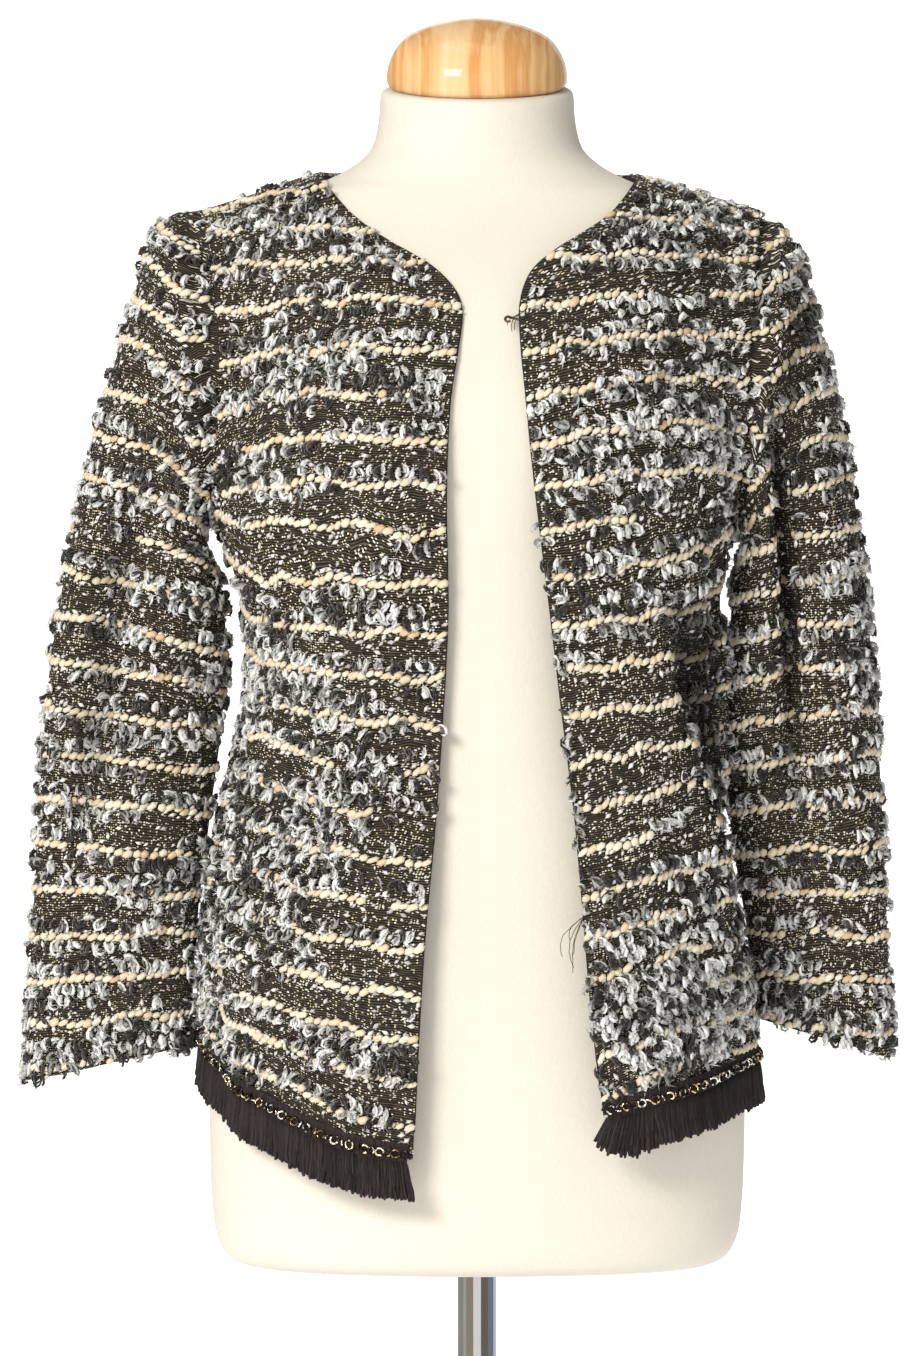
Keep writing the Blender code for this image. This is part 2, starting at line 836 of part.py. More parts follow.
def build_cloth(fine, coarse, group, tweed):
    """Builds the walls of the jacket and returns the outer points of the fronts and the back."""
    lower = np.linspace(0, UNDERARM, LOWER_ROWS + 1)
    upper = np.linspace(UNDERARM, SHOULDER, UPPER_ROWS + 1)
    grids = body_grids(np.concatenate([lower, upper[1:]]), fine, coarse)
    directions = body_directions(grids)
    sleeves = (
        ("right", RIGHT_SLEEVE, RIGHT_SLEEVE_FOLDS),
        ("left", LEFT_SLEEVE, LEFT_SLEEVE_FOLDS),
    )
    for side, rows, folds in sleeves:
        inner, direction = build_sleeve_grid(grids, directions, side, rows, folds)
        add_wall("sleeve_" + side, inner, inner + direction * CLOTH, True, group, tweed)
    walls = {}
    seamed_columns = {"front_right": (0,), "front_left": (-1,), "back": (0, -1)}
    for name, inner in grids.items():
        outer = inner + directions[name] * CLOTH
        pull_in(inner, seamed_columns[name])
        pull_in(outer, seamed_columns[name])
        add_wall(name, inner, outer, False, group, tweed)
        walls[name] = outer
    return walls


def resample(line, times):
    """The points along a row of a grid, with times pieces between each two columns."""
    pieces = [between(line[:-1], line[1:], i / times) for i in range(times)]
    inner = np.stack(pieces, axis=1).reshape(-1, line.shape[-1])
    return np.concatenate([inner, line[-1:]])


def hem_lines(outer):
    """The hem's bottom row, its upward and its outward directions, one of each for each strand edge."""
    up = unit(outer[1] - outer[0])
    out = normals_of(outer, False)[0]
    hem, up, out = (resample(line, STRANDS_PER_COLUMN) for line in (outer[0], up, out))
    hem[0] = between(hem[0], hem[1], TAPE_END_SHARE)
    hem[-1] = between(hem[-1], hem[-2], TAPE_END_SHARE)
    return hem, up, out


def ribbon(hem, up, out, low, high, under, gap, thick):
    """Inner and outer grids of a strip lying on what under holds, from low to high above the hem."""
    inner = np.stack([hem + up * low + out * gap, hem + up * high + out * gap])
    inner = keep_clear(rest_on(inner, under, gap), under, gap)
    return inner, inner + out * thick


def tree_of_mesh(mesh):
    return BVHTree.FromPolygons(
        [vertex.co for vertex in mesh.vertices], [tuple(face.vertices) for face in mesh.polygons]
    )


def build_fringe(name, outer, under, flare, group, finish, seed):
    """A tape on the hem with its strands, each grown from its own length of the tape's lower edge."""
    hem, up, out = hem_lines(outer)
    top = TAPE_HEIGHT - TAPE_DROP
    inner, face = ribbon(hem, up, out, -TAPE_DROP, top, under, TAPE_GAP, TAPE_THICK)
    mesh = wall_mesh(name, inner, face, False)
    work = bmesh.new()
    work.from_mesh(mesh)
    work.verts.ensure_lookup_table()
    columns = len(hem)
    lower_edge = set(range(columns)) | set(range(2 * columns, 3 * columns))
    ends = [f for f in work.faces if all(v.index in lower_edge for v in f.verts)]
    from_corner = np.linalg.norm(hem - hem[0], axis=-1)
    spread = flare * np.clip(1 - from_corner / FLARE_REACH, 0, 1)
    along = unit(hem[1] - hem[0])
    rng = np.random.default_rng(seed)
    for tip in bmesh.ops.extrude_discrete_faces(work, faces=ends)["faces"]:
        middle = tip.calc_center_median()
        near = int(np.argmin(np.linalg.norm(hem - np.array(middle), axis=-1)))
        length = STRAND_LENGTH + STRAND_VARIATION * rng.uniform(-1, 1)
        fall = (STRAND_HANG - 1) * up[near] - np.array([0, 0, STRAND_HANG])
        fall += STRAND_LIFT * out[near] - spread[near] * along
        fall = Vector(fall).normalized() * length
        for vertex in tip.verts:
            vertex.co = middle + (vertex.co - middle) * STRAND_TIP_SHARE + fall
    bmesh.ops.recalc_face_normals(work, faces=work.faces)
    work.to_mesh(mesh)
    work.free()
    return add_object(name, mesh, group, finish)


def build_chain(name, outer, under, group, finish):
    hem, up, out = hem_lines(outer)
    hem = hem + out * (TAPE_GAP + TAPE_THICK)
    low = CHAIN_LOW_SHARE * TAPE_HEIGHT - TAPE_DROP
    high = CHAIN_HIGH_SHARE * TAPE_HEIGHT - TAPE_DROP
    inner, face = ribbon(hem, up, out, low, high, under, TAPE_GAP, CHAIN_THICK)
    return add_object(name, wall_mesh(name, inner, face, False), group, finish)


def wire_mesh(name, path, radius, sides, facing):
    """A closed wire along a path; facing is a direction that the path never runs in."""
    tangents = unit(np.gradient(path, axis=0))
    flat = unit(np.cross(tangents, facing))
    rest = np.cross(tangents, flat)
    angles = np.linspace(0, 2 * math.pi, sides, endpoint=False)[:, None]
    points, faces = [], []
    for centre, one, other in zip(path, flat, rest):
        points.extend(centre + radius * (np.cos(angles) * one + np.sin(angles) * other))
    for k in range(len(path) - 1):
        for i in range(sides):
            n = (i + 1) % sides
            a, b = k * sides + i, k * sides + n
            two_triangles(faces, a, b, b + sides, a + sides)
    last = (len(path) - 1) * sides
    for i in range(1, sides - 1):
        faces.append((0, i + 1, i))
        faces.append((last, last + i, last + i + 1))
    mesh = bpy.data.meshes.new(name)
    mesh.from_pydata([tuple(point) for point in points], [], faces)
    face_outwards(mesh)
    return mesh


def build_hook(panel, group, finish):
    """A bent wire hook behind a panel's front edge: an eye, a shank that passes the edge, and a curl."""
    at = np.interp(TABLE_LEVEL + HOOK_HEIGHT, panel[:, 0, 2], np.arange(len(panel)))
    borders = np.stack([panel[:, 0], panel[:, 1], normals_of(panel, False)[:, 0]], axis=1)
    edge, beside, out = spline(borders, [at])[0]
    across, out = unit(beside - edge), unit(out)
    up = unit(np.cross(out, across))
    place = edge - out * (CLOTH + HOOK_WIRE + 2 * SEAM_GAP)
    points = []
    for turn in np.radians(np.linspace(30, 286, 9)):
        points.append((EYE_X + EYE_RADIUS * math.cos(turn), EYE_RADIUS * math.sin(turn), 0))
    points += SHANK
    for step, turn in enumerate(np.radians(np.linspace(70, 322, 8))):
        height = CURL_HEIGHT + CURL_RADIUS * math.sin(turn)
        points.append((CURL_X + CURL_RADIUS * math.cos(turn), height, CURL_RISE * step))
    path = place + np.array(points) @ np.array([across, up, out]) * MM
    mesh = wire_mesh("neck_hook", path, HOOK_WIRE, HOOK_SIDES, out)
    shade(mesh, HOOK_SHADE_ANGLE)
    add_object("neck_hook", mesh, group, finish)


def main():
    clear_scene()
    part = collection("boucle_jacket_on_dress_form")
    cutters = collection("cutters")
    cutters.hide_render = True
    jersey = material("cream_jersey", CREAM_JERSEY, 0.85)
    pine = material("pine", PINE, 0.25)
    chrome = material("chrome", CHROME, 0.12, 1.0)
    tweed = material("boucle_tweed", TWEED, 0.9)
    fringe = material("black_fringe", FRINGE, 0.85)
    brass = material("pale_brass", BRASS, 0.3, 1.0)
    cutter = build_stand(part, cutters, chrome)
    build_form(part, cutter, jersey, pine)
    fine = tree_of(form_rings(FINE_RINGS_PER_ROW, FINE_SIDES))
    coarse = tree_of(form_rings(1, FORM_SIDES))
    walls = build_cloth(fine, coarse, part, tweed)
    flares = {"front_right": 0, "front_left": LEFT_CORNER_FLARE, "back": 0}
    for seed, (name, flare) in enumerate(flares.items()):
        wall = tree_of_mesh(bpy.data.objects[name].data)
        tape = build_fringe("fringe_" + name, walls[name], wall, flare, part, fringe, seed)
        build_chain("chain_" + name, walls[name], tree_of_mesh(tape.data), part, brass)
    build_hook(walls["front_left"], part, brass)


main()
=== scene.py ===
"""Looks of the open-front boucle jacket on its dress form: cloth, trim, form, stand and studio."""

import math
from collections import namedtuple

import bmesh
import bpy
import numpy as np
from mathutils import Matrix, Vector
from mathutils.bvhtree import BVHTree


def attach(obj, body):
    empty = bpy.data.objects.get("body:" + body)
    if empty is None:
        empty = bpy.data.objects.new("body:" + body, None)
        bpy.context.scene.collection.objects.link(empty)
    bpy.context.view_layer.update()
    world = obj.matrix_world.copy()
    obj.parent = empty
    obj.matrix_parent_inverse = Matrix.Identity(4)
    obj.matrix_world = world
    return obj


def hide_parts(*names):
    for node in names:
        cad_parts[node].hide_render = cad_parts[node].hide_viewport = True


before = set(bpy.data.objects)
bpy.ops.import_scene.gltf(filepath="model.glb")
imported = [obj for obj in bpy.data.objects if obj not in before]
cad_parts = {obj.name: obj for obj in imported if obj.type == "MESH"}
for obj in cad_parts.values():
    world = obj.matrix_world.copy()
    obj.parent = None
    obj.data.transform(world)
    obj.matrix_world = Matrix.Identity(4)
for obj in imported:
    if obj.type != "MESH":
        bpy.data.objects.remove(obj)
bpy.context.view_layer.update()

MM = 0.001
SEAM_GAP = 0.3 * MM

# Columns of the tables, in millimetres; a fold's places are shares across the panel and stations up it
FormRow = namedtuple("FormRow", "height half_width front back squareness")
CapRow = namedtuple("CapRow", "radius height")
Point = namedtuple("Point", "x y height")
MiddleRow = namedtuple("MiddleRow", "y height")
SleeveRow = namedtuple("SleeveRow", "outer_x outer_height inner_x inner_height half_depth y")
Fold = namedtuple("Fold", "start_share end_share first_station last_station depth width_share")


def table(row_type, *rows):
    return tuple(row_type(*row) for row in rows)


# All the tables below measure height from this level, a little under the dress form
TABLE_LEVEL = 250 * MM

# Dress form
FORM_ROWS = table(
    FormRow,
    (11, 149, 87, 91, 2.3),
    (15, 158, 95, 99, 2.3),
    (25, 165, 101, 105, 2.3),
    (46, 169, 105, 110, 2.3),
    (100, 171, 106, 116, 2.3),
    (180, 170, 107, 119, 2.3),
    (260, 157, 104, 108, 2.25),
    (340, 131, 101, 88, 2.2),
    (400, 119, 100, 76, 2.2),
    (450, 127, 103, 80, 2.2),
    (500, 140, 109, 88, 2.3),
    (545, 150, 112, 96, 2.4),
    (590, 158, 107, 103, 2.5),
    (620, 163, 99, 104, 2.5),
    (645, 165, 86, 97, 2.5),
    (662, 162, 75, 89, 2.4),
    (676, 154, 67, 82, 2.3),
    (684, 144, 63, 78, 2.2),
    (692, 127, 60, 74, 2.1),
    (699, 104, 58, 71, 2.0),
    (709, 83, 57, 67, 2.0),
    (722, 68, 56, 63, 2.0),
    (740, 63, 57, 61, 2.0),
    (755, 62, 58, 60, 2.0),
    (759.5, 60.5, 57, 58.5, 2.0),
    (761, 57, 54, 55, 2.0),
)
NECK_TILT = 0.237
NECK_TILT_FROM = 700
NECK_TOP = 761
BUST_RISE = 9
BUST_X = 72
BUST_HEIGHT = 548
BUST_WIDE = 44
BUST_TALL = 52
FORM_SIDES = 28

# The finer copy of the form that the cloth is rested on
FINE_SIDES = 96
FINE_RINGS_PER_ROW = 3

# Turned neck cap, from its underside up
CAP_ROWS = table(
    CapRow,
    (54.5, 0),
    (57.0, 2.5),
    (57.8, 7),
    (56.4, 16),
    (51.5, 26),
    (44.5, 33),
    (32, 38.8),
    (20, 42),
    (9, 43.8),
    (0, 44.2),
)

CAP_SIDES = 64
CAP_STEPS = 4
CAP_TIP = 0.3 * MM
CAP_GAP = 1.5 * SEAM_GAP

# Cloth
CLOTH = 2.5 * MM
REST_GAP = 1.2 * MM
FACE_GAP = 1.0 * MM
FACE_TESTS = (
    (0.5, 0.5),
    (0, 0.5),
    (0.5, 0),
    (0.25, 0.25),
    (0.75, 0.25),
    (0.25, 0.75),
    (0.75, 0.75),
)
SHOULDER_LEVELLING = np.array([1, 0.2, 1])
CLEAR_ROUNDS = 5
CLEAR_PUSH = 1.1
ARMHOLE_TURN = 2.4 * MM
ARMHOLE_LIFT = 1 * MM
ARMPIT_LIFT = 5 * MM

# Stations climb from the hem (0) to the underarm (6) and on to the shoulder seam (14)
UNDERARM = 6
SHOULDER = 14
RIGHT_FRONT_EDGE = table(
    Point,
    (-40, -124, 88),
    (-37, -124, 155),
    (-33, -121, 222),
    (-27, -116, 289),
    (-22, -113, 362),
    (-19, -116, 425),
    (-20, -124, 485),
    (-19, -126, 530),
    (-16, -122, 575),
    (-10, -111, 612),
    (-24, -99, 638),
    (-48, -86, 655),
    (-72, -69, 669),
    (-92, -42, 687),
    (-99, -3, 705),
)
LEFT_FRONT_EDGE = table(
    Point,
    (77, -124, 115),
    (70, -125, 176),
    (65, -121, 237),
    (59.5, -117, 300),
    (51.5, -113, 366),
    (44.5, -116, 425),
    (37, -124, 485),
    (32, -126, 530),
    (28, -122, 575),
    (25.5, -111, 610),
    (33, -102, 635),
    (52, -89, 652),
    (75, -72, 667),
    (94, -44, 684),
    (101, -3, 703),
)
RIGHT_SIDE_FRONT = table(
    Point,
    (-172, 5, 153),
    (-172, 5, 204),
    (-168, 5, 259),
    (-157, 5, 315),
    (-145, 5, 370),
    (-146, 4, 425),
    (-164, 3, 485),
    (-165, -24, 498),
    (-163, -42, 524),
    (-161, -50, 556),
    (-161, -51, 590),
    (-164, -45, 621),
    (-168, -34, 648),
    (-172, -19, 669),
    (-175, -2, 681),
)
RIGHT_SIDE_BACK = RIGHT_SIDE_FRONT[: UNDERARM + 1] + table(
    Point,
    (-165, 28, 497),
    (-165, 46, 522),
    (-165, 55, 555),
    (-166, 57, 590),
    (-168, 50, 622),
    (-170, 38, 649),
    (-173, 20, 669),
    (-175, -2, 681),
)
LEFT_SIDE_FRONT = table(
    Point,
    (167, 8, 146),
    (166, 8, 198),
    (158, 8, 256),
    (151, 7, 315),
    (148, 6, 370),
    (150, 4, 425),
    (160, 3, 478),
    (162, -24, 492),
    (165, -42, 520),
    (168, -50, 553),
    (170, -51, 588),
    (173, -45, 620),
    (176, -34, 648),
    (179, -19, 669),
    (181, -2, 681),
)
LEFT_SIDE_BACK = LEFT_SIDE_FRONT[: UNDERARM + 1] + table(
    Point,
    (163, 28, 492),
    (165, 46, 518),
    (168, 55, 553),
    (170, 57, 588),
    (173, 50, 620),
    (176, 38, 649),
    (179, 20, 669),
    (181, -2, 681),
)
BACK_MIDDLE = table(
    MiddleRow,
    (127, 146),
    (130, 200),
    (125, 257),
    (111, 315),
    (99, 370),
    (96, 425),
    (101, 485),
    (107, 530),
    (111, 575),
    (112, 612),
    (108, 641),
    (101, 664),
    (92, 684),
    (82, 702),
    (73, 717),
)
# How late each section's height rises from its front edge or middle towards its side
RIGHT_RISE = (1.45, 1.35, 1.2, 1.1)
LEFT_RISE = (0.95,)
# How far round the side seam each section has turned when it gets there
TURN_AT_SIDE = (90, 90, 90, 90, 90, 90, 90, 82, 72, 64, 56, 47, 36, 22, 0)
ROUND_PULL = 0.62
NECK_SHARE = 0.56
NECK_TURN = 90

# Sleeves: the outer and inner ends of each section, its half depth and how far back it lies
RIGHT_SLEEVE = table(
    SleeveRow,
    (-193, 679, -172, 485, 56, 0),
    (-206, 663, -176, 480, 55, 0),
    (-215, 634, -178, 470, 53, 0),
    (-229, 586, -174, 454, 51, -1),
    (-244, 529, -170, 428, 48, -2),
    (-258, 466, -169, 396, 43, -3),
    (-270, 396, -171, 352, 37, -4),
    (-276, 326, -176, 300, 32, -4),
    (-280, 256, -180, 244, 28, -3),
    (-284, 190, -184, 192, 25, -2),
    (-287, 132, -185, 151, 23, 0),
)
LEFT_SLEEVE = table(
    SleeveRow,
    (195, 678, 169, 478, 56, 0),
    (208, 658, 172, 472, 55, 2),
    (219, 626, 172, 462, 53, 4),
    (231, 576, 170, 442, 51, 8),
    (243, 516, 170, 414, 47, 12),
    (252, 452, 168, 382, 43, 18),
    (258, 388, 169, 338, 38, 24),
    (263, 322, 170, 292, 33, 28),
    (266, 256, 175, 240, 28, 29),
    (268, 192, 180, 190, 25, 28),
    (269, 144, 184, 166, 23, 27),
)
SLEEVE_ROWS_PER_STATION = (1, 1, 1, 2, 2, 2, 2, 2, 2, 1)
END_FADE = 0.75

# Creases; a negative depth is a trough, and one that starts at the hem fades upwards only
RIGHT_FRONT_FOLDS = table(
    Fold,
    (0.74, 0.80, 0.0, 3.6, -11, 0.075),
    (0.56, 0.60, 0.4, 3.8, 6, 0.10),
)
LEFT_FRONT_FOLDS = table(
    Fold,
    (0.88, 0.75, 1.2, 6.0, -20, 0.075),
    (0.75, 0.52, 0.6, 5.6, 9, 0.10),
    (0.86, 0.84, -0.8, 1.6, 11, 0.12),
)
BACK_FOLDS = table(
    Fold,
    (0.24, 0.30, 0.0, 4.6, -8, 0.035),
    (0.74, 0.69, 0.0, 4.9, -9, 0.035),
    (0.49, 0.52, 0.0, 3.4, 7, 0.06),
)
RIGHT_SLEEVE_FOLDS = table(
    Fold,
    (0.30, 0.16, 1.5, 6.5, -8, 0.05),
    (0.34, 0.22, 7.0, 11.0, -4, 0.06),
)
LEFT_SLEEVE_FOLDS = table(
    Fold,
    (0.29, 0.29, 0.2, 8.2, -17, 0.045),
    (0.72, 0.76, 2.0, 8.0, -8, 0.05),
)

# Grid sizes of the cloth walls
LOWER_ROWS = 12
UPPER_ROWS = 10
FRONT_COLUMNS = 12
BACK_COLUMNS = 24

# Hem trim
TAPE_HEIGHT = 13.5 * MM
TAPE_DROP = 4 * MM
TAPE_THICK = 1.4 * MM
TAPE_GAP = 0.4 * MM
STRAND_HANG = 0.4
STRAND_LIFT = 0.04
FLARE_REACH = 30 * MM
CHAIN_LOW_SHARE = 0.24
CHAIN_HIGH_SHARE = 0.48

# Hook at the neck, on the wearer's left front edge
HOOK_WIRE = 0.55 * MM
HOOK_HEIGHT = 607 * MM
EYE_X = 4.5
EYE_RADIUS = 2.0
SHANK = [(1.0, -0.6, -0.1), (-4.0, -0.3, -0.2)]
CURL_X = -6.6
CURL_HEIGHT = -2.2
CURL_RADIUS = 1.9
CURL_RISE = 1.96
HOOK_POINTS = 25
EYE_TURNS = np.radians(np.linspace(30, 286, HOOK_POINTS))
CURL_TURNS = np.radians(np.linspace(70, 322, HOOK_POINTS))
HOOK_SWELL = 1.6

# Camera and light
CAMERA_X = -0.016
CAMERA_HEIGHT = 0.634
CAMERA_DISTANCE = 3.2
FRAME_HEIGHT = 0.86784
SENSOR = 36
FLOOR_GLOW = 0.75
BACKDROP_GLOW = 1.0
PAPER_SIDES = 48
FLOOR_HOLE = 0.02
FLOOR_RADIUS = 3.2
WALL_RADIUS = 9.2
WALL_CURVE = 1.4
WALL_HEIGHT = 9.0
WALL_STEPS = 9
WORLD_GLOW = 0.36
WORLD_TINT = (1.0, 0.97, 0.93, 1.0)
WARM = (1.0, 0.965, 0.92)
LIGHTS = (
    ("key_softbox", (-1.62, -2.75, 1.9), (0, 0, 0.7), (1.2, 0.9), 116, WARM),
    ("front_softbox", (0.0, -3.6, 1.0), (0, 0, 0.6), (2.2, 1.8), 17),
    ("fill_softbox", (2.4, -1.8, 1.6), (0, 0, 0.65), (1.0, 1.4), 5),
    ("top_softbox", (-0.3, -0.3, 2.7), (0, 0, 0.8), (1.4, 1.0), 9),
    ("back_softbox", (0.4, 2.8, 1.4), (0, 0, 0.7), (2.4, 2.0), 20),
)

# Fine grids: how many steps lie between two coarse ones, and the shell takes every third of them
FINE = 6
SHELL_STEP = 3
SKIN_GAP = 0.6 * MM

# Knit rows: the cream ones are counted from the lowest, at stations by shares from the front edge
ROW_PERIOD = 28.5 * MM
ROW_WOBBLE = 0.055 / 3.7
WOBBLE_WAVES = 14
WOBBLES_ACROSS = (1, 7)
WOBBLES_UP = (2, 16)
LEAST_CLIMB = 1e-6
COUNT_SHARES = (0, 0.33, 0.66, 1)
RIGHT_COUNTS = (
    (-0.67, -1.04, -0.92, -0.63),
    (1.83, 1.60, 1.62, 1.73),
    (4.27, 4.23, 4.03, 4.07),
    (6.72, 6.70, 6.38, 6.40),
    (9.27, 9.16, 8.89, 8.68),
    (11.52, 11.39, 11.23, 10.78),
    (13.43, 13.19, 13.15, 12.58),
    (15.04, 14.52, 14.33, 14.02),
    (16.62, 15.92, 15.42, 15.19),
    (17.87, 17.19, 16.58, 16.24),
    (18.74, 18.18, 17.66, 17.25),
    (19.49, 19.07, 18.65, 18.23),
    (20.26, 19.92, 19.58, 19.21),
    (21.03, 20.77, 20.49, 20.20),
    (21.80, 21.60, 21.40, 21.20),
)
LEFT_COUNTS = (
    (-0.45, -0.85, -0.65, -0.27),
    (2.10, 1.66, 1.79, 2.12),
    (4.55, 4.24, 4.28, 4.46),
    (6.90, 6.71, 6.66, 6.64),
    (9.21, 9.01, 8.87, 8.63),
    (11.36, 11.06, 10.83, 10.38),
    (13.36, 12.86, 12.42, 11.86),
    (15.09, 14.26, 13.66, 13.13),
    (16.68, 15.57, 14.83, 14.29),
    (17.94, 16.86, 16.03, 15.44),
    (18.77, 17.91, 17.19, 16.62),
    (19.31, 18.75, 18.27, 17.83),
    (19.86, 19.57, 19.32, 19.06),
    (20.42, 20.39, 20.35, 20.30),
    (20.99, 21.19, 21.38, 21.54),
)
BACK_MIDDLE_COUNTS = np.array(
    (-0.7, 1.7, 4.1, 6.5, 8.9, 11.1, 13.1, 14.7, 16.2, 17.5, 18.7, 19.7, 20.6, 21.4, 22.2)
)

# Sleeves count their rows down from the shoulder, at the outer and the inner side of each ring
RIGHT_OUTER_COUNTS = (-1.6, -0.54, 0.72, 2.41, 4.37, 6.54, 8.95, 11.36, 13.77, 16.06, 18.27)
RIGHT_INNER_COUNTS = (4.5, 4.8, 5.3, 5.9, 7.0, 8.17, 10.03, 11.92, 14.09, 16.23, 17.86)
LEFT_OUTER_COUNTS = (-1.4, -0.3, 1.0, 2.77, 4.84, 7.03, 9.22, 11.48, 13.73, 15.91, 17.55)
LEFT_INNER_COUNTS = (4.9, 5.25, 5.75, 6.68, 7.71, 8.97, 10.58, 12.24, 14.21, 16.17, 17.09)
CROWN_COUNTS = np.array([0.35, 0.25, 0.12])

# How many rows yarn and tufts stay off a panel's ends: on the body, then on the sleeves
YARN_MARGINS = ((0.42, 0.04), (0.06, 0.05))
TUFT_MARGINS = ((0.62, 0.045), (0.02, 0.06))

# Creases finer than the solids', as shares across and stations up a panel
DRAPES = {
    "front_right": table(
        Fold,
        (0.80, 0.86, 0.2, 4.2, -6, 0.05),
        (0.66, 0.70, 0.4, 4.4, 4, 0.06),
        (0.45, 0.52, 0.6, 4.8, -2.5, 0.05),
        (0.30, 0.22, 5.0, 9.0, -2, 0.05),
        (0.00, 0.00, 2.5, 13.5, -9, 0.12),
    ),
    "front_left": table(
        Fold,
        (0.74, 0.60, 1.4, 6.0, 5, 0.07),
        (0.90, 0.84, 6.0, 9.0, -5, 0.05),
        (0.40, 0.36, 0.4, 4.0, -2.5, 0.05),
        (0.60, 0.52, 5.5, 9.5, -2, 0.05),
    ),
    "back": table(
        Fold,
        (0.30, 0.37, 0.3, 5.0, -5, 0.025),
        (0.64, 0.60, 0.3, 5.2, -5, 0.025),
        (0.50, 0.48, 6.0, 10.5, -3, 0.03),
    ),
    "sleeve_right": table(
        Fold,
        (0.20, 0.17, 3.0, 9.0, -12, 0.045),
        (0.34, 0.30, 1.0, 5.0, -4, 0.03),
        (0.70, 0.76, 2.5, 8.0, -6, 0.05),
        (0.50, 0.50, 1.2, 8.0, 6, 0.09),
    ),
    "sleeve_left": table(
        Fold,
        (0.29, 0.30, 0.1, 7.2, -13, 0.022),
        (0.00, 0.00, -1.0, 18.0, -6, 0.16),
        (0.20, 0.16, 3.0, 8.4, 4, 0.05),
        (0.72, 0.74, 1.0, 6.0, -5, 0.04),
        (0.50, 0.50, 2.2, 8.2, 6, 0.08),
    ),
}
SOLID_FOLDS = {
    "front_right": RIGHT_FRONT_FOLDS,
    "front_left": LEFT_FRONT_FOLDS,
    "back": BACK_FOLDS,
    "sleeve_right": RIGHT_SLEEVE_FOLDS,
    "sleeve_left": LEFT_SLEEVE_FOLDS,
}
SEAM_EASE = 0.08
# Painted shade in the folds: the fold depth where it starts, the depth over which it grows, its most,
# and the tuck depth that gives full shade
HOLLOW_FROM = 8 * MM
HOLLOW_DEPTH = 26 * MM
HOLLOW_MOST = 0.7
TUCK_DEPTH = 16 * MM

# Places in front given painted shade that the folds alone don't show: x, height, reach and how much
SHADED_PLACES = (
    (206, 640, 10, 0.6),
    (202, 622, 10, 0.8),
    (199, 604, 10, 0.95),
    (197, 586, 10, 0.95),
    (197, 568, 10, 0.95),
    (197, 550, 10, 0.95),
    (198, 532, 10, 0.95),
    (199, 514, 10, 0.9),
    (199, 496, 10, 0.8),
    (198, 478, 10, 0.6),
    (197, 460, 10, 0.4),
    (196, 442, 10, 0.2),
    (170, 250, 11, 0.8),
    (174, 232, 11, 0.9),
    (178, 214, 11, 0.9),
    (182, 196, 11, 0.8),
    (-228, 470, 13, 0.35),
    (-231, 448, 13, 0.5),
    (-234, 426, 14, 0.55),
    (-236, 404, 14, 0.55),
    (-238, 382, 14, 0.55),
    (-241, 360, 14, 0.55),
    (-243, 338, 14, 0.5),
    (-245, 316, 13, 0.4),
)

# The wearer's left front is folded back beside a slanting edge: height, where the edge lies,
# how far it goes back, and how far the side seam behind it swells out
TUCK = (
    (235, 172, 0, 0),
    (262, 162, 16, 0),
    (283, 154, 36, 0),
    (303, 146, 46, 2),
    (322, 141, 50, 8),
    (344, 134, 50, 11),
    (374, 122, 44, 11),
    (400, 118, 28, 9),
    (425, 116, 10, 3),
    (445, 114, 0, 0),
)
TUCK_WIDTH = 6 * MM
TUCK_END = -10 * MM
TUCK_HOLD = 0.8
SWELL_PLACE = 5 * MM
SWELL_REACH = 38 * MM

# The hem lies higher here than on the solids: x, reach and how much; and the cuffs hang a little lower
HEM_LIFTS = ((-136, 42, 8.5), (-185, 20, 4))
HEM_FADE = 80 * MM
CUFF_DROP = 5 * MM
CUFF_TILT = 0.4
CUFF_FROM = 8.4

# Cream rows: height, pitch and the share that they cover
ROPE_COURSES = ((0, 5.5 * MM, 0.88),)
ROPE_BEAD = (2, 6)
ROPE_JITTER = 0.12
ROPE_HALF_SIZES = (4.1 * MM, 2.5 * MM, 2.0 * MM)
ROPE_SPREAD = (0.74, 1.18)
ROPE_SLANT = 30
ROPE_STRAY = 0.6 * MM
ROPE_LIFT = 0.7 * MM

# White slubs: height above a cream row, pitch and chance
SPECK_COURSES = (
    (3.4 * MM, 4.6 * MM, 0.72),
    (7.2 * MM, 6.0 * MM, 0.36),
    (12.0 * MM, 6.5 * MM, 0.24),
    (16.8 * MM, 6.5 * MM, 0.24),
    (21.4 * MM, 6.0 * MM, 0.36),
    (25.1 * MM, 4.6 * MM, 0.72),
)
SPECK_BEAD = (1, 5)
SPECK_JITTER = 0.4
SPECK_THINNING = 0.6
SPECK_HALF_SIZES = (2.5 * MM, 1.25 * MM, 1.0 * MM)
SPECK_SPREAD = (0.5, 1.3)
SPECK_STRAY = 0.8 * MM
SPECK_LIFT = 0.6 * MM
SPECK_SLANT = (0.55, 0.5)

# Tufts: height of their roots above a cream row, pitch and the share of the course that they cover
TUFT_PITCH = 3.95 * MM
TUFT_COURSES = (
    (4.4 * MM, TUFT_PITCH, 0.16),
    (11.0 * MM, TUFT_PITCH, 0.50),
    (18.0 * MM, TUFT_PITCH, 0.22),
    (25.2 * MM, TUFT_PITCH, 0.44),
)
TUFT_JITTER = 0.5
TUFT_STRAY = 1.5 * MM
TUFT_THINNING = 0.35
# How much painted shade darkens the tufts in the folds
TUFT_PAINTED_SHADE = 0.55
PATCH_LENGTH = 46 * MM
PATCH_SOFTNESS = 0.12
CUFF_ROWS = 1.4
CUFF_MORE = 0.4

# Tufts that hang over a front's edge, below the height where that edge starts to be bare
EDGE_OVER_TOP = {"front_right": 0.50, "front_left": 0.48}
EDGE_CLEAR = 0.8 * MM
EDGE_REACH = 5.0 * MM
EDGE_OVER = 3.0 * MM
EDGE_CHANCE = 0.5
EDGE_WEIGHT = 1.4
# How much painted shade darkens the tufts that hang over the edge
EDGE_PAINTED_SHADE = 0.4

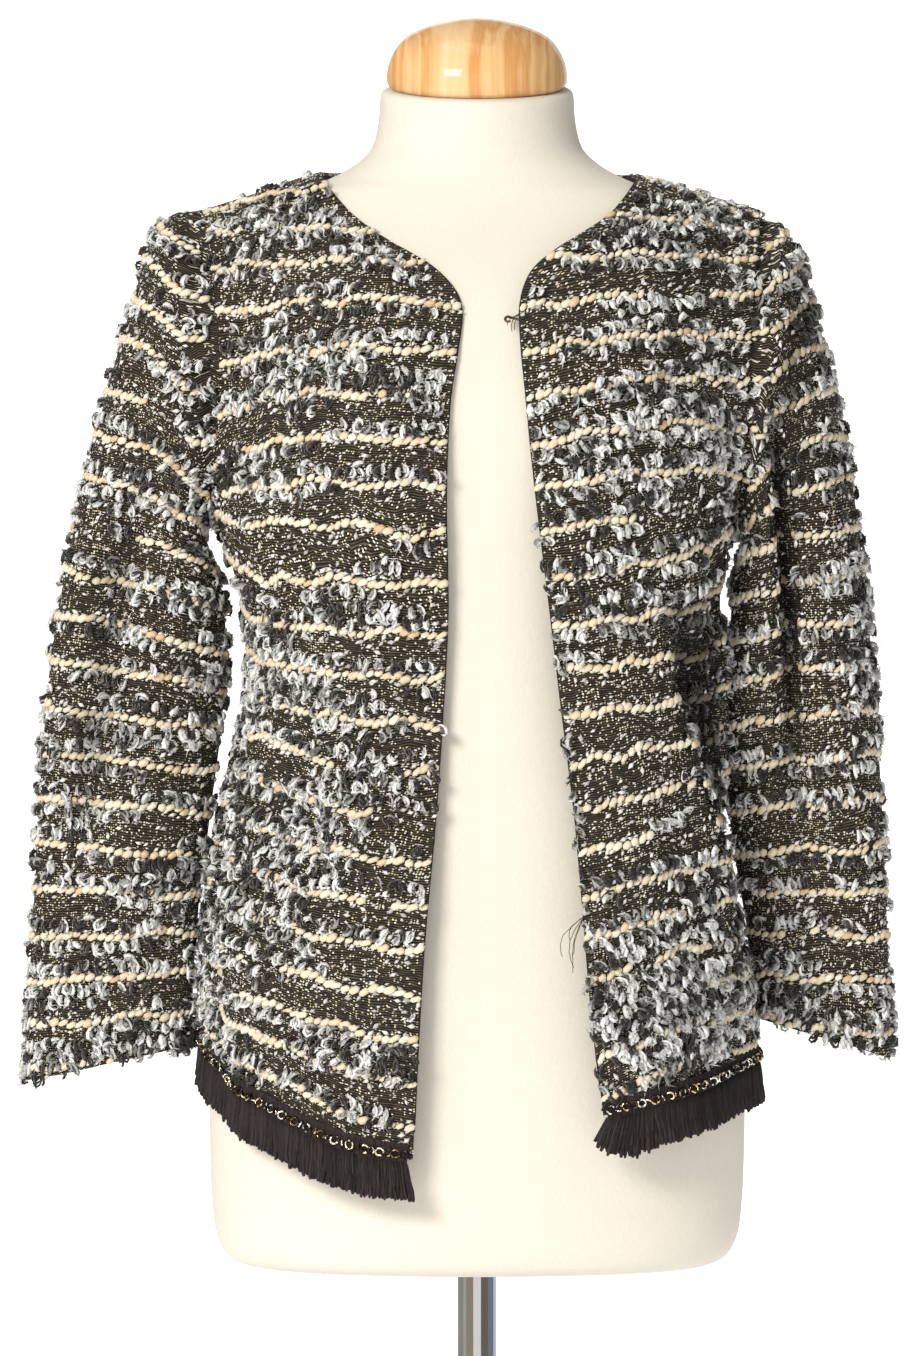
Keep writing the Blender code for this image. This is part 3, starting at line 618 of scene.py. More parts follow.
# Each tuft: its size, the curl of its strands and their tones
TUFT_WIDTHS = (3.2 * MM, 6.4 * MM)
TUFT_DROPS = (5.6 * MM, 9.4 * MM)
TUFT_LIFTS = (2.2 * MM, 4.6 * MM)
TUFT_RADII = (1.15 * MM, 1.85 * MM)
TUFT_DARK_WIDTH = 0.8
TUFT_PALE_GAIN = 0.25
TUFT_ROOT = 0.5 * MM
TUFT_SWING = 0.5
TUFT_TURNS = (3.0, 4.8)
TUFT_OPENING = (0.75, 0.35)
TUFT_DRIFT = 0.6
TUFT_ARCH = 0.7
TUFT_TIP = 0.4
TUFT_BELLY = 0.8
INNER_DROP = 0.4
Strand = namedtuple("Strand", "steps size rise shade")
# A tuft's strands: steps, size, rise and tone shift; the inner strand's darker tone is painted shade
# inside the curl, the outer strand's slightly paler tone painted light on its rim
TUFT_STRANDS = table(Strand, (6, 1.0, 1.0, 0.06), (4, 0.5, 1.2, -0.24))
TUFT_SIDES = 3
TONE_LENGTH = 5.5 * MM
TONE_JITTER = 0.35
TONE_STRAY = 0.10
TONE_SLOPE = 0.5
TUFT_TONES = (0.05, 0.10, 0.5, 0.78, 0.88, 0.95)

# Loose fibres on each tuft
FIBRES = 3
FIBRE_TONE = 0.1
FIBRE_STRAY = 0.5
FIBRE_LEAN = (0, -0.2, 0.5)
FIBRE_LENGTHS = (3.0 * MM, 7.0 * MM)
FIBRE_RADIUS = 0.35 * MM

# Places on the fronts where tufts lie thicker (or thinner, below 0): x, height, reach and by how much
THICK_PLACES = (
    (-52, 658, 26, 0.50),
    (-84, 684, 18, 0.25),
    (78, 672, 26, 0.30),
    (-125, 685, 50, 0.35),
    (130, 690, 50, 0.35),
    (-100, 545, 60, 0.30),
    (-95, 485, 55, -0.30),
    (-90, 393, 45, 0.30),
    (-75, 322, 40, 0.25),
    (-150, 250, 55, 0.60),
    (-85, 205, 40, -0.35),
    (-75, 150, 40, 0.40),
    (95, 560, 50, 0.30),
    (62, 600, 30, -0.35),
    (85, 500, 40, 0.25),
    (85, 385, 40, -0.35),
    (90, 290, 35, -0.20),
    (100, 190, 50, 0.50),
)

# Knit ground
COURSE_HEIGHT = 1.55 * MM
STITCH_WIDTH = 1.9 * MM
COURSE_WANDER = 1.2 * MM
STREAK_SIZE = (6 * MM, 1.9 * MM)
GLINT_REACH = 0.33
GLINT_BARE = 0.06
FLECK_SIZE = (4.2 * MM, 2.4 * MM)
FLECK_SHIFT = (3.1, 7.7, 0)
FLECK_REACH = 0.27
FLECK_FROM = 0.94
DASH_LINES = 4
DASH_START = 0.08
DASH_LENGTH = 3.4 * MM
DASH_HEIGHT = 1.5 * MM
DASH_SHIFT = 17.3
DASH_SPREAD = 0.55
DASH_GRAIN = 60
DASH_GAPS = 0.95
DASH_REACH = 0.36
DASH_HALF_HEIGHT = 0.14

# Fringe yarns, in layers from the tape outwards
TAPE_ROWS = 5
YARN_SIDES = 3
YARN_STEPS = (0, 0.22, 0.48, 0.74, 0.92, 1)
YARN_SWELLS = (0.8, 0.95, 1.0, 1.0, 0.9, 0.55)
YARN_LENGTH = 24.5 * MM
YARN_RADIUS = 1.5 * MM
YARN_JITTER = 0.3
YARN_SPREAD = (0.8, 1.2)
YARN_UNEVENNESS = 0.03
YARN_SWAY = 1.1 * MM
YARN_WAVE = 0.55 * MM
YARN_WAVES = (0.5, 1.5)
YARN_BOW = 1.4
YARN_EASE = (-0.2, 1)
Layer = namedtuple("Layer", "pitch depth length start steps swells")
YARN_LAYERS = table(
    Layer,
    (0.9 * MM, 0.1, 0.86, 2 * MM, (0, 1), (0.8, 0.5)),
    (1.3 * MM, 0.4, 0.94, 2 * MM, YARN_STEPS, YARN_SWELLS),
    (1.3 * MM, 0.7, 0.97, 2 * MM, YARN_STEPS, YARN_SWELLS),
    (1.2 * MM, 1.0, 1.0, 2 * MM, YARN_STEPS, YARN_SWELLS),
    (1.5 * MM, 0.6, 0.42, TAPE_HEIGHT, (0, 0.5, 1), (0.5, 0.6, 0.5)),
)
YARN_LIFT = 1.8 * MM
LOBE_PITCH = 6.5 * MM
LOBE_WANDER = 0.35
LOBE_WANDER_LENGTH = 17 * MM
LOBE_SHIFT = 0.25
LOBE_PULL = 0.25
LOBE_CUT = 0.11
CORNER_FLARES = {"front_left": 0.62, "front_right": -0.24, "back": 0}
CORNER_CURVE = 1.5
CORNER_MORE = 0.16
CORNER_LESS = 0.30

# Links of the chain, every other one edge on
LINK_PITCH = 4.8 * MM
LINK_LENGTH = 5.2 * MM
LINK_WIDTH = 4.6 * MM
LINK_WIRE = 0.75 * MM
LINK_RISE = 2.0 * MM
LINK_STAND = 0.8 * MM
LINK_SINK = 0.1 * MM
LINK_JITTER = 0.08
LINK_SIDES = (12, 5)
LINK_STRAY = 0.5
EDGE_ON_LINK = 0.85
EDGE_ON_TURN = 1.3

# Loose threads on the left front edge: height, length, lean and count
LOOSE_THREADS = ((236, 26 * MM, 0.45, 5), (610, 10 * MM, 0.8, 4), (470, 9 * MM, 0.3, 2))
THREAD_RADIUS = 0.2 * MM
THREAD_POINTS = 14
THREAD_REACH = (0.6, 1.1)
THREAD_LEAN = (0.5, 1.4)
THREAD_SWING = 0.3
THREAD_BOW = (0.1, 0.35)
THREAD_STAND = 0.4 * MM
THREAD_SWAY = 0.06
THREAD_WAVES = (3, 8)
THREAD_STRAY = 0.15 * MM
THREAD_SIDES = 4
BINDING_RADIUS = 0.7 * MM
BINDING_SIDES = 5
HOOK_SIDES = 8

# Shades of yarn and metal for pieces of one tone, from the dark end 0 to the pale end 1
HOOK_TONE = 0.03
THREAD_TONE = 0.2
BINDING_TONE = 0.1

# The sharpest bends, in degrees, that are shaded as round
SHELL_SHARP = 50
TAPE_SHARP = 40
TURNED_SHARP = 35
TORSO_SHARP = 60

# The flat cut of each piece: width, length and area
CUTS = {
    "front_right": (0.24, 0.62, 0.117),
    "front_left": (0.24, 0.62, 0.117),
    "back": (0.49, 0.62, 0.250),
    "sleeve_right": (0.42, 0.58, 0.150),
    "sleeve_left": (0.42, 0.58, 0.150),
}

# Toned cards round the foot of the stand that gloss alone sees: from and to which turn, and the tone.
# Turn 0 faces the front and 90 faces +X
CARDS = (
    (-150, -82, (0.36, 0.35, 0.33)),
    (-82, -62, (0.52, 0.50, 0.44)),
    (-62, -16, (0.38, 0.33, 0.24)),
    (-16, 21, (1.00, 0.97, 0.95)),
    (21, 72, (0.20, 0.17, 0.13)),
    (72, 112, (0.22, 0.26, 0.35)),
    (112, 150, (0.68, 0.73, 0.82)),
)
CARD_RADIUS = 0.9
CARD_HEIGHT = 0.42
CARD_STEPS = 8

# Shader values that all materials share
SHEEN_ROUGHNESS = 0.5
SHEEN_TINT = (1, 0.95, 0.88, 1)
COAT_ROUGHNESS = 0.06

# The first panel's seed of random draws; each next panel's is one more
SEED = 100


def between(low, high, share):
    return low + (high - low) * share


def smooth_step(value, low, high):
    share = np.clip((value - low) / (high - low), 0, 1)
    return share * share * (3 - 2 * share)


def spline(rows, at):
    """Catmull-Rom through rows, one row for each whole station, read at the stations in at."""
    rows = np.asarray(rows, float)
    at = np.clip(np.asarray(at, float), 0, len(rows) - 1)
    low = np.minimum(at.astype(int), len(rows) - 2)
    share = (at - low).reshape(-1, *([1] * (rows.ndim - 1)))
    before = np.where(
        (low > 0).reshape(share.shape), rows[np.maximum(low - 1, 0)], 2 * rows[low] - rows[low + 1]
    )
    last = low + 2 < len(rows)
    after = np.where(
        last.reshape(share.shape),
        rows[np.minimum(low + 2, len(rows) - 1)],
        2 * rows[low + 1] - rows[low],
    )
    start, end = rows[low], rows[low + 1]
    return 0.5 * (
        2 * start
        + (end - before) * share
        + (2 * before - 5 * start + 4 * end - after) * share**2
        + (3 * start - before - 3 * end + after) * share**3
    )


def to_frame(points):
    """Points with heights above the tables' level, as metres in the part's frame."""
    return np.asarray(points, float) * MM + np.array([0, 0, TABLE_LEVEL])


def form_section(row, angles):
    """One ring of the dress form: angle 0 faces the front and a quarter turn faces +X."""
    across, along = np.sin(angles), np.cos(angles)
    power = 2 / row.squareness
    x = row.half_width * np.sign(across) * np.abs(across) ** power
    depth = np.where(along > 0, row.front, row.back)
    y = -depth * np.sign(along) * np.abs(along) ** power
    rise = BUST_RISE * np.exp(-(((row.height - BUST_HEIGHT) / BUST_TALL) ** 2))
    y -= rise * np.exp(-(((np.abs(x) - BUST_X) / BUST_WIDE) ** 2)) * np.clip(along, 0, 1)
    tilt = NECK_TILT * smooth_step(row.height, NECK_TILT_FROM, NECK_TOP)
    return to_frame(np.stack([x, y, row.height + tilt * y], axis=-1))


def form_rings(rings_per_row, sides):
    """Rings of the dress form from its underside to the neck, so many for each row of its table."""
    at = np.linspace(0, len(FORM_ROWS) - 1, (len(FORM_ROWS) - 1) * rings_per_row + 1)
    angles = np.linspace(0, 2 * math.pi, sides, endpoint=False)
    return [form_section(FormRow(*row), angles) for row in spline(FORM_ROWS, at)]


def bands(rings, sides, closed=False):
    """Faces with four corners that join each ring of points to the next, and the last to the first."""
    k, i = np.meshgrid(np.arange(rings if closed else rings - 1), np.arange(sides), indexing="ij")
    low, high, n = k * sides, (k + 1) % rings * sides, (i + 1) % sides
    return np.stack([low + i, low + n, high + n, high + i], axis=-1).reshape(-1, 4)


def halves(faces):
    """Two triangles for each face with four corners."""
    return np.concatenate([faces[:, [0, 1, 2]], faces[:, [0, 2, 3]]])


def fan(first, sides, tip):
    """Triangles from a ring, whose first point is given, to its tip."""
    i = np.arange(sides)
    return np.stack([first + i, first + (i + 1) % sides, np.full(sides, tip)], axis=1)


def tree_of(rings):
    """A search tree over the rings' skin, for resting cloth on it."""
    faces = bands(len(rings), len(rings[0])).tolist()
    return BVHTree.FromPolygons([Vector(p) for p in np.concatenate(rings)], faces)


def rest_on(points, tree, gap):
    """Moves out every point that lies inside what tree holds, or nearer to it than gap."""
    flat = points.reshape(-1, 3).copy()
    for index, point in enumerate(flat):
        near, normal, _, distance = tree.find_nearest(Vector(point))
        away = Vector(point) - near
        outside = away.dot(normal) > 0
        if not outside or distance < gap:
            direction = away.normalized() if outside and distance > gap / 2 else normal
            flat[index] = near + direction * gap
    return flat.reshape(points.shape)


def keep_clear(grid, tree, gap):
    """Moves a grid's points out until its faces and edges are gap clear of what tree holds too."""
    corner_sets = (
        (slice(0, -1), slice(0, -1)),
        (slice(0, -1), slice(1, None)),
        (slice(1, None), slice(0, -1)),
        (slice(1, None), slice(1, None)),
    )
    for _ in range(CLEAR_ROUNDS):
        push = np.zeros_like(grid)
        corners = [grid[rows, columns] for rows, columns in corner_sets]
        for u, v in FACE_TESTS:
            shares = ((1 - u) * (1 - v), u * (1 - v), (1 - u) * v, u * v)
            tested = sum(share * corner for share, corner in zip(shares, corners))
            shift = rest_on(tested, tree, gap) - tested
            for share, (rows, columns) in zip(shares, corner_sets):
                held = push[rows, columns]
                longer = np.linalg.norm(shift, axis=-1) > np.linalg.norm(held, axis=-1)
                held[longer & (share > 0)] = shift[longer & (share > 0)]
        grid = grid + CLEAR_PUSH * push
    return grid


def section_curve(front, side, turn_degrees, shares, rise=1.0):
    """A quarter section from a panel's edge or middle to its side, turned by turn_degrees there."""
    front, side = np.asarray(front, float), np.asarray(side, float)
    span = side - front
    turn = math.radians(turn_degrees)
    first = front + np.array([ROUND_PULL * span[0], 0, 0])
    second = side - ROUND_PULL * np.array([math.cos(turn), math.sin(turn), 0]) * span
    if turn_degrees == 0:
        first, second = front + span / 3, side - span / 3
    s = np.asarray(shares, float)[:, None]
    curve = (
        (1 - s) ** 3 * front
        + 3 * (1 - s) ** 2 * s * first
        + 3 * (1 - s) * s**2 * second
        + s**3 * side
    )
    curve[:, 2] = front[2] + span[2] * s[:, 0] ** rise
    return curve


def front_grid(edge, sides, rises, stations, shares):
    """Points of a front panel: one row for each station, from the front edge to the side."""
    rows = []
    for k in range(SHOULDER + 1):
        rise = rises[k] if k < len(rises) else 1.0
        rows.append(section_curve(edge[k], sides[k], TURN_AT_SIDE[k], shares, rise))
    return to_frame(spline(np.array(rows), stations))


def back_row(k, shares):
    """One section of the back, from the wearer's right side to the left."""
    depth, height = BACK_MIDDLE[k]
    middle = (0, depth, height)
    both = []
    for sides, edge in ((RIGHT_SIDE_BACK, RIGHT_FRONT_EDGE), (LEFT_SIDE_BACK, LEFT_FRONT_EDGE)):
        out = np.abs(shares[shares < 0] if sides is RIGHT_SIDE_BACK else shares[shares >= 0])
        if k < SHOULDER:
            both.append(section_curve(middle, sides[k], TURN_AT_SIDE[k], out))
            continue
        neck, tip = np.array(edge[k], float), np.array(sides[k], float)
        collar = section_curve(middle, neck, NECK_TURN, np.clip(out / NECK_SHARE, 0, 1))
        seam = neck + (tip - neck) * np.clip((out - NECK_SHARE) / (1 - NECK_SHARE), 0, 1)[:, None]
        both.append(np.where((out < NECK_SHARE)[:, None], collar, seam))
    return np.concatenate(both)


def back_grid(stations, shares):
    rows = [back_row(k, shares) for k in range(SHOULDER + 1)]
    return to_frame(spline(np.array(rows), stations))


def sleeve_grid(rows, stations, sides):
    """Rings of a sleeve from the armhole to the cuff. Each runs shoulder, front, underarm, back."""
    angles = np.linspace(0, 2 * math.pi, sides, endpoint=False)
    rings = []
    for row in rows:
        outer = to_frame((row.outer_x, row.y, row.outer_height))
        inner = to_frame((row.inner_x, row.y, row.inner_height))
        middle, arm = (outer + inner) / 2, (outer - inner) / 2
        depth = np.array([0, -row.half_depth * MM, 0])
        rings.append(middle + np.cos(angles)[:, None] * arm + np.sin(angles)[:, None] * depth)
    return spline(rings, stations)


def unit(vectors):
    return vectors / np.linalg.norm(vectors, axis=-1, keepdims=True)


def normals_of(grid, closed):
    """Unit normals of a grid of points, facing out of the body."""
    if closed:
        along_u = np.roll(grid, -1, axis=1) - np.roll(grid, 1, axis=1)
    else:
        along_u = np.gradient(grid, axis=1)
    along_t = np.gradient(grid, axis=0)
    made = unit(np.cross(along_u, along_t))
    if closed:
        middle = grid.mean(axis=1, keepdims=True)
        made *= np.sign(np.sum(made * (grid - middle)))
    return made


def crease(grid, normals, folds, stations, shares, closed=False):
    """Moves points along their normals by the panel's folds."""
    shift = np.zeros(grid.shape[:2])
    for fold in folds:
        length = fold.last_station - fold.first_station
        along = np.clip((stations - fold.first_station) / length, 0, 1)
        fade = np.sin(math.pi * along) ** END_FADE
        if fold.first_station <= 0:
            fade = np.cos(math.pi / 2 * along) ** END_FADE
        middle = between(fold.start_share, fold.end_share, along)
        away = shares[None, :] - middle[:, None]
        if closed:
            away = (away + 0.5) % 1 - 0.5
        shift += fold.depth * MM * fade[:, None] * np.exp(-((away / fold.width_share) ** 2))
    return grid + normals * shift[..., None]


def body_grids(stations, fine, coarse):
    """Inner points of the fronts and the back, lying on the form."""
    front_shares = np.linspace(0, 1, FRONT_COLUMNS + 1)
    back_shares = np.linspace(-1, 1, BACK_COLUMNS + 1)
    right = front_grid(RIGHT_FRONT_EDGE, RIGHT_SIDE_FRONT, RIGHT_RISE, stations, front_shares)
    left = front_grid(LEFT_FRONT_EDGE, LEFT_SIDE_FRONT, LEFT_RISE, stations, front_shares)
    back = back_grid(stations, back_shares)
    panels = (
        ("front_right", right[:, ::-1], RIGHT_FRONT_FOLDS, front_shares[::-1]),
        ("front_left", left, LEFT_FRONT_FOLDS, front_shares),
        ("back", back[:, ::-1], BACK_FOLDS, (back_shares[::-1] + 1) / 2),
    )
    grids = {}
    for name, grid, folds, shares in panels:
        creased = crease(grid, normals_of(grid, False), folds, stations, shares)
        grids[name] = keep_clear(rest_on(creased, fine, REST_GAP), coarse, FACE_GAP)
    join_seams(grids)
    return grids


def seam_columns(side):
    """The front panel's and the back's border columns at one side seam and armhole."""
    return (0, -1) if side == "right" else (-1, 0)


def join_seams(grids):
    """Gives the two panels at each side seam and shoulder tip the same points along it."""
    shared = list(range(LOWER_ROWS + 1)) + [-1]
    for side in ("right", "left"):
        front, back = grids["front_" + side], grids["back"]
        column, other = seam_columns(side)
        middle = (front[shared, column] + back[shared, other]) / 2
        front[shared, column] = middle
        back[shared, other] = middle


def body_directions(grids):
    """The wall direction at every point of the fronts and back, the same on both sides of a seam."""
    directions = {name: normals_of(grid, False) for name, grid in grids.items()}
    for name, made in directions.items():
        made[-1] = (made[-1] + np.array([0, 0, 1])) * SHOULDER_LEVELLING
        directions[name] = unit(made)
    shared = list(range(LOWER_ROWS + 1)) + [-1]
    for side in ("right", "left"):
        front, back = directions["front_" + side], directions["back"]
        column, other = seam_columns(side)
        blend = unit(front[shared, column] + back[shared, other])
        front[shared, column] = blend
        back[shared, other] = blend
    return directions


def armhole_loop(values, side):
    """The armhole border of the body from the shoulder down the front and up the back."""
    column, other = seam_columns(side)
    front = values["front_" + side][LOWER_ROWS:, column]
    back = values["back"][LOWER_ROWS:, other]
    return np.concatenate([front[::-1], back[1:-1]])


def sleeve_stations():
    stations = [0.0]
    for station, count in enumerate(SLEEVE_ROWS_PER_STATION):
        stations += [station + (i + 1) / count for i in range(count)]
    return np.array(stations)


def build_sleeve_grid(grids, directions, side, rows, folds):
    """Inner points and wall directions of a sleeve, and of its turn out of the armhole seam."""
    loop = armhole_loop(grids, side)
    out = armhole_loop(directions, side)
    tangent = np.roll(loop, -1, axis=0) - np.roll(loop, 1, axis=0)
    onward = unit(np.cross(tangent, out))
    onward *= np.sign(onward[0, 0]) * np.sign(loop[0, 0])
    stations = sleeve_stations()
    sleeve = sleeve_grid(rows, stations, len(loop))
    shares = np.linspace(0, 1, len(loop), endpoint=False)
    sleeve = crease(sleeve, normals_of(sleeve, True), folds, stations, shares, closed=True)
    facing = normals_of(sleeve, True)
    turned_back = np.clip(-np.sum(out * facing[0], axis=-1, keepdims=True), 0, 1)
    seam = loop + onward * SEAM_GAP
    first = loop + onward * ARMHOLE_TURN
    crown = (first + sleeve[0]) / 2 + onward * (ARMHOLE_LIFT + ARMPIT_LIFT * turned_back)
    grid = np.concatenate([[seam, first, crown], sleeve])
    return grid, np.concatenate([[out, out, unit(out + facing[0])], facing])


def pull_in(skin, columns):
    """Moves a panel's shoulder border and its side borders half a seam gap back from their seams."""
    sides = slice(LOWER_ROWS + 1)
    for column in columns:
        beside = 1 if column == 0 else -2
        skin[sides, column] += SEAM_GAP / 2 * unit(skin[sides, beside] - skin[sides, column])
    skin[-1] += SEAM_GAP / 2 * unit(skin[-2] - skin[-1])


def refine(grid, row_times, column_times, closed):
    """A finer grid through the same points."""
    rows, columns = grid.shape[:2]
    fine = spline(grid, np.linspace(0, rows - 1, (rows - 1) * row_times + 1))
    across = np.swapaxes(fine, 0, 1)
    at = np.linspace(0, columns - 1, (columns - 1) * column_times + 1)
    if closed:
        across = np.concatenate([across[-2:], across, across[:3]])
        at = 2 + np.arange(columns * column_times) / column_times
    return np.swapaxes(spline(across, at), 0, 1)


def panel_rows(counts, stations, shares):
    """The row count at every point of a panel's grid, from its table of stations by shares."""
    along = spline(counts, stations)
    return np.array([np.interp(shares, COUNT_SHARES, values) for values in along])


def back_rows(front_counts, stations, shares):
    """The row count over half of the back, which meets the front's at the side."""
    side = np.array(front_counts)[:, -1]
    middle, rise = BACK_MIDDLE_COUNTS, side - BACK_MIDDLE_COUNTS
    counts = np.stack([middle, middle + rise / 3, middle + rise * 2 / 3, side], axis=1)
    return panel_rows(counts, stations, np.abs(shares))


def sleeve_rows(outer, inner, stations, sides):
    """The row count at every point of a sleeve's grid, from the counts at its outer and inner side."""
    high, low = spline(outer, stations), spline(inner, stations)
    turn = np.cos(np.linspace(0, 2 * math.pi, sides, endpoint=False))[None, :]
    body = (high + low)[:, None] / 2 + turn * (high - low)[:, None] / 2
    return np.concatenate([body[:1] - CROWN_COUNTS[:, None], body])


def build_panels():
    """Fine inner and outer skins, directions and row counts of the five sewn pieces."""
    fine = tree_of(form_rings(FINE_RINGS_PER_ROW, FINE_SIDES))
    coarse = tree_of(form_rings(1, FORM_SIDES))
    lower = np.linspace(0, UNDERARM, LOWER_ROWS + 1)
    upper = np.linspace(UNDERARM, SHOULDER, UPPER_ROWS + 1)
    stations = np.concatenate([lower, upper[1:]])
    grids = body_grids(stations, fine, coarse)
    directions = body_directions(grids)
    made = {}
    sleeves = (
        ("right", RIGHT_SLEEVE, RIGHT_SLEEVE_FOLDS, RIGHT_OUTER_COUNTS, RIGHT_INNER_COUNTS),
        ("left", LEFT_SLEEVE, LEFT_SLEEVE_FOLDS, LEFT_OUTER_COUNTS, LEFT_INNER_COUNTS),
    )
    for side, rows, folds, outer_counts, inner_counts in sleeves:
        inner, out = build_sleeve_grid(grids, directions, side, rows, folds)
        counts = sleeve_rows(outer_counts, inner_counts, sleeve_stations(), inner.shape[1])
        made["sleeve_" + side] = (inner, inner + out * CLOTH, counts)
    front_shares = np.linspace(0, 1, FRONT_COLUMNS + 1)
    back_shares = np.linspace(-1, 1, BACK_COLUMNS + 1)
    counts = {
        "front_right": panel_rows(RIGHT_COUNTS, stations, front_shares[::-1]),
        "front_left": panel_rows(LEFT_COUNTS, stations, front_shares),
        "back": np.where(
            back_shares > 0,
            back_rows(LEFT_COUNTS, stations, back_shares),
            back_rows(RIGHT_COUNTS, stations, back_shares),
        )[:, ::-1],
    }
    seamed_columns = {"front_right": (0,), "front_left": (-1,), "back": (0, -1)}
    for name, inner in grids.items():
        outer = inner + directions[name] * CLOTH
        pull_in(inner, seamed_columns[name])
        pull_in(outer, seamed_columns[name])
        made[name] = (inner, outer, counts[name])
    panels = {}
    for name, (inner, outer, rows) in made.items():
        closed = name.startswith("sleeve")
        levels = sleeve_stations() if closed else stations
        levels = np.concatenate([[0.0] * (len(inner) - len(levels)), levels])
        panels[name] = Panel(name, inner, outer, rows, levels, fine)
    return panels


def tuck(name, skins):
    """Folds the wearer's left front back beside its slanting edge; says how far it went."""
    outer = skins[1]
    heights, edges, depths, swells = np.array(TUCK).T
    height = (outer[..., 2] - TABLE_LEVEL) / MM
    back = np.zeros(height.shape)
    if name == "front_left":
        beside = np.clip((outer[..., 0] - np.interp(height, heights, edges) * MM) / TUCK_WIDTH, 0, 1)
        back = beside**2 * (3 - 2 * beside) * np.interp(height, heights, depths) * MM
        back = np.minimum(back, TUCK_HOLD * np.clip(TUCK_END - outer[..., 1], 0, None))
    swell = np.interp(height, heights, swells, 0, 0) * MM * (outer[..., 0] > 0)
    swell *= np.exp(-(((outer[..., 1] - SWELL_PLACE) / SWELL_REACH) ** 2))
    shift = np.stack([swell, back, 0 * back], axis=-1)
    return [skin + shift for skin in skins], back


def settle(skins, levels, shares, closed):
    """Lifts the hem and lowers the cuffs by the few millimetres that the solids leave."""
    outer = skins[1]
    lift = np.zeros(outer.shape[:2])
    if closed:
        low = np.clip((levels - CUFF_FROM) / (levels[-1] - CUFF_FROM), 0, 1)[:, None]
        lift -= CUFF_DROP * low * (1 - CUFF_TILT + CUFF_TILT * np.cos(2 * math.pi * shares))
    else:
        near = np.clip(1 - (outer[..., 2] - outer[:1, :, 2]) / HEM_FADE, 0, 1)
        for x, reach, amount in HEM_LIFTS:
            lift += amount * MM * near * np.exp(-(((outer[..., 0] - x * MM) / (reach * MM)) ** 2))
    return [skin + lift[..., None] * np.array([0, 0, 1]) for skin in skins]


def felt_at(points, places):
    """How strongly each place is felt at the points, by how far off they lie in front."""
    for x, height, reach, amount in places:
        away = np.hypot(points[..., 0] - x * MM, points[..., 2] - TABLE_LEVEL - height * MM)
        yield amount * np.exp(-((away / (reach * MM)) ** 2))


def shaded(outer):
    """How much painted shade each point gets from the places listed as shaded in front."""
    return np.max(list(felt_at(outer, SHADED_PLACES)), axis=0) * (outer[..., 1] < 0)


def drape(name, skins, levels, closed):
    """Both skins of a panel with its finer creases and folds, and how much painted shade each place
    gets from how deep it lies in a fold or the tuck and from the shaded places.
    """
    rows, columns = skins[0].shape[:2]
    shares = np.linspace(0, 1, columns + closed)[:columns]
    fine_levels = np.interp(np.arange(rows) / FINE, np.arange(len(levels)), levels)
    flat = np.zeros((rows, columns, 3))
    lifted = flat + np.array([0, 0, 1.0])
    if name == "front_right":
        shares = shares[::-1]
    shift = crease(flat, lifted, DRAPES[name], fine_levels, shares, closed)[..., 2:]
    deep = crease(flat, lifted, SOLID_FOLDS[name], fine_levels, shares, closed)[..., 2]
    if not closed:
        ends = np.minimum(shares, 1 - shares) if name == "back" else 1 - shares
        shift *= np.clip(ends / SEAM_EASE, 0, 1)[None, :, None]
    facing = normals_of(skins[1], closed)
    skins = [skin + facing * shift for skin in skins]
    deep += shift[..., 0]
    skins = settle(skins, fine_levels, shares, closed)
    # Painted shade grows with a fold's depth, then with the tuck's, and is at least that of the shaded
    # places
    hollow_shade = np.clip((-deep - HOLLOW_FROM) / HOLLOW_DEPTH, 0, HOLLOW_MOST)
    if not closed:
        skins, back = tuck(name, skins)
        hollow_shade = np.maximum(hollow_shade, np.clip(back / TUCK_DEPTH, 0, 1))
    return *skins, np.maximum(hollow_shade, shaded(skins[1]))


def wobble(shape, seed):
    """A slow uneven drift of the knit rows, the same on both ends of a closed ring."""
    rng = np.random.default_rng(seed)
    rows, columns = np.meshgrid(np.linspace(0, 1, shape[0]), np.linspace(0, 1, shape[1]), indexing="ij")
    drift = np.zeros(shape)
    for _ in range(WOBBLE_WAVES):
        across, up = rng.integers(*WOBBLES_ACROSS), rng.uniform(*WOBBLES_UP)
        drift += np.sin(2 * math.pi * (across * columns + up * rows + rng.uniform(0, 1)))
    return ROW_WOBBLE * drift


